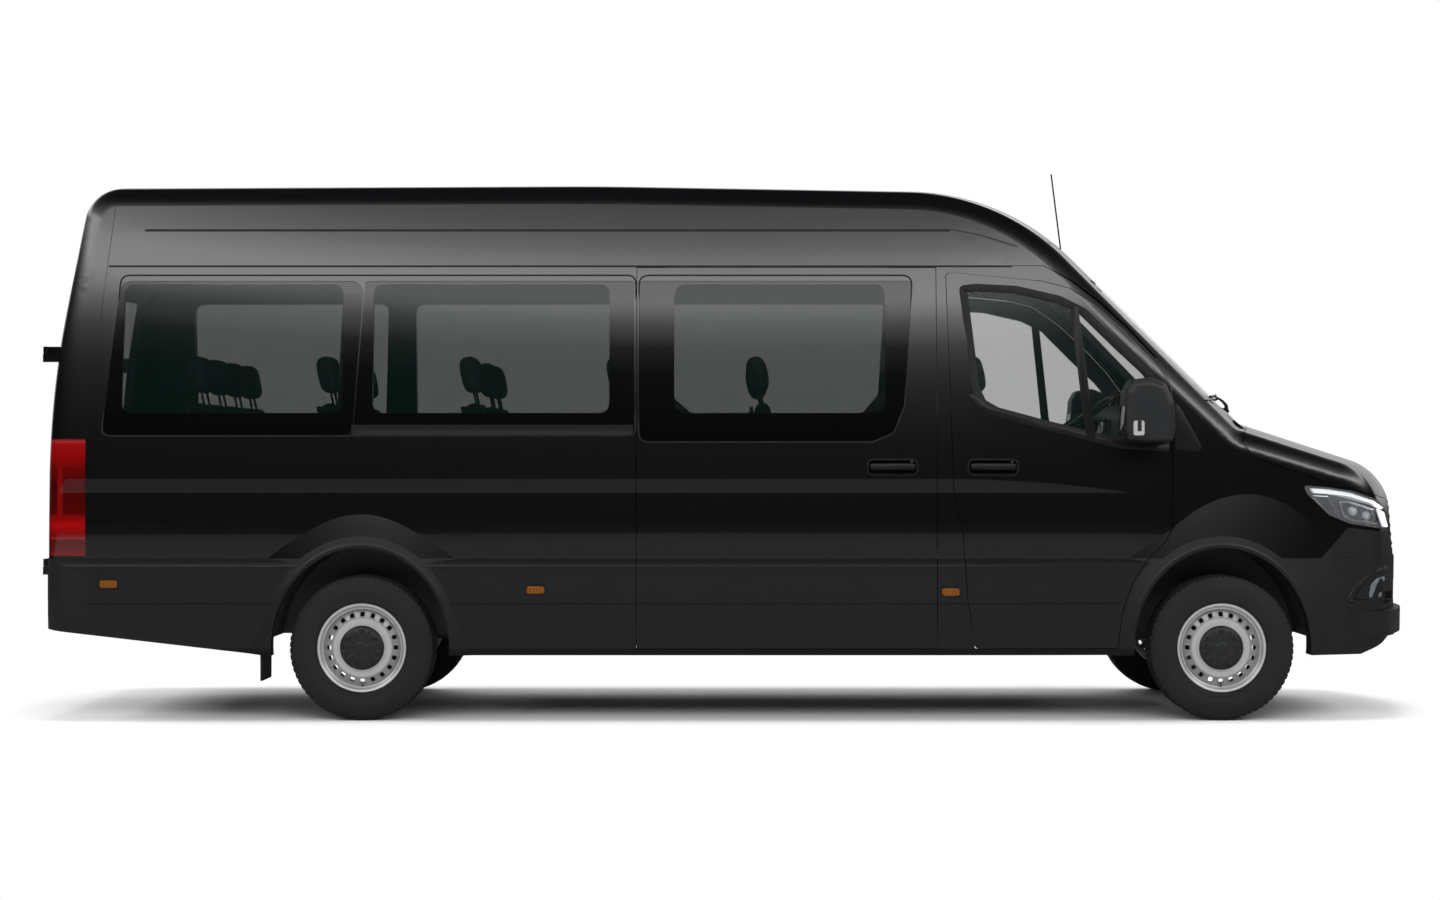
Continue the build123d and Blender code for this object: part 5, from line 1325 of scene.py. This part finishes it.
# block with rounded edges and an even grid of faces, its seat face hollowed along the middle
def padBlock(kind, pad, voxel):
    work = bmesh.new()
    bmesh.ops.create_cube(work, size=1.0)
    bmesh.ops.scale(work, vec=pad["size"], verts=work.verts)
    bmesh.ops.bevel(work, geom=work.edges[:], offset=pad["bevel"], segments=5, profile=0.6, affect="EDGES")
    mesh = bpy.data.meshes.new(kind)
    work.to_mesh(mesh)
    work.free()
    rough = addObject("rough_" + kind, mesh)
    remesh = rough.modifiers.new("remesh", "REMESH")
    remesh.mode = "VOXEL"
    remesh.voxel_size = voxel
    fine = evaluatedMesh(rough)
    bpy.data.objects.remove(rough)
    spots = meshPoints(fine)
    long, wide, thick = pad["size"]
    dip = pad["hollow"] * np.clip(1 - (spots[:, 1] / (wide * 0.36)) ** 2, 0, 1)
    spots[:, 2] -= dip * np.clip(spots[:, 2] / (thick / 2), 0, 1)
    fine.vertices.foreach_set("co", spots.ravel())
    return addObject("pad_" + kind, fine), spots


# swollen pads in their own coordinates, length u, width v and thickness w: blocks grown by cloth pressure,
# no point of which moves further than the pad's cap
def padMeshes():
    pads = {"cushion": {"size": (0.43, 0.412, 0.082), "bevel": 0.030, "cap": 0.010, "hollow": 0.012},
            "back": {"size": (0.618, 0.412, 0.066), "bevel": 0.028, "cap": 0.010, "hollow": 0.012},
            "head": {"size": (0.185, 0.240, 0.092), "bevel": 0.044, "cap": 0.008, "hollow": 0.0}}
    swell = {"voxel": 0.009, "pressure": 4.0, "frames": 20, "kept": 0.42}
    blocks = {kind: padBlock(kind, pad, swell["voxel"]) for kind, pad in pads.items()}
    for piece, start in blocks.values():
        cloth = piece.modifiers.new("cloth", "CLOTH")
        cloth.settings.use_pressure = True
        cloth.settings.uniform_pressure_force = swell["pressure"]
        cloth.settings.effector_weights.gravity = 0.0
        cloth.point_cache.frame_start = 1
        cloth.point_cache.frame_end = swell["frames"]
    for step in range(1, swell["frames"] + 1):
        bpy.context.scene.frame_set(step)
    meshes = {}
    for kind, (piece, start) in blocks.items():
        moved = meshPoints(evaluatedMesh(piece)) - start
        far = np.linalg.norm(moved, axis=1, keepdims=True)
        start = start + moved * np.minimum(1.0, pads[kind]["cap"] / np.maximum(far, 1e-9))
        piece.modifiers.clear()
        piece.data.vertices.foreach_set("co", start.ravel())
        piece.modifiers.new("coarse", "DECIMATE").ratio = swell["kept"]
        bpy.context.view_layer.update()
        meshes[kind] = evaluatedMesh(piece)
        bpy.data.objects.remove(piece)
    bpy.context.scene.frame_set(1)
    return meshes


# copies of one mesh at several places, each keeping its own coordinates in an attribute
def placedCopies(name, pieces):
    spots, own, corners, sizes, start = [], [], [], [], 0
    for mesh, matrix, shift in pieces:
        local = meshPoints(mesh)
        spots.append(local @ matrix.T + shift)
        own.append(local)
        corners.append(readArray(mesh.loops, "vertex_index", 1, np.int64) + start)
        sizes.append(readArray(mesh.polygons, "loop_total", 1, np.int64))
        start += len(local)
    spots, own, corners, sizes = map(np.concatenate, (spots, own, corners, sizes))
    mesh = bpy.data.meshes.new(name)
    faces = np.split(corners, np.cumsum(sizes)[:-1])
    mesh.from_pydata(spots.tolist(), [], [face.tolist() for face in faces])
    place = mesh.attributes.new("padPlace", "FLOAT_VECTOR", "POINT")
    place.data.foreach_set("vector", own.ravel())
    return mesh


# cushion, leaning back and head rest at every seat
def makeSeats():
    seat = {"lean": math.radians(12.0), "level": 0.965, "headTop": 1.872, "headHalf": 0.090,
            "cushion": (0.280, 1.018), "back": (0.0, 0.345), "head": (0.014, 0.795),
            "rows": (0.093, -0.62, -1.37, -2.10, -2.76)}
    # lengthwise place of the head rest, then sideways place, by the pad node they belong to
    places = {"seat_pads_right": [(x, -0.675) for x in seat["rows"]] + [(seat["rows"][-1], -0.226)],
              "seat_pads_left": [(x, y) for x in seat["rows"] for y in (0.228, 0.675)],
              "seat_pads_cab": [(1.2, 0.48), (1.2, -0.228), (1.2, -0.675)]}
    cloth = seatFinish()
    meshes = padMeshes()
    lean = seat["lean"]
    heel = (seat["headTop"] - seat["headHalf"] - seat["level"]) * math.tan(lean)
    # a back's length runs up the leaning spine and its thickness forwards
    up = np.array([-math.sin(lean), 0, math.cos(lean)])
    ahead = np.array([math.cos(lean), 0, math.sin(lean)])
    upright = np.stack([up, (0, -1, 0), ahead], 1)
    for node, spots in places.items():
        pieces = []
        for x, y in spots:
            foot = np.array([x + heel, y, seat["level"]])
            along, height = seat["cushion"]
            pieces.append((meshes["cushion"], np.eye(3), np.array([x + heel + along, y, height])))
            for kind in ("back", "head"):
                along, height = seat[kind]
                pieces.append((meshes[kind], upright, foot + along * ahead + height * up))
        copies = placedCopies(node, pieces)
        pads = addPiece(node + "Cloth", copies, cloth, "body", "seat_cloth", [node], 60.0)


makeSeats()
print("seats made")
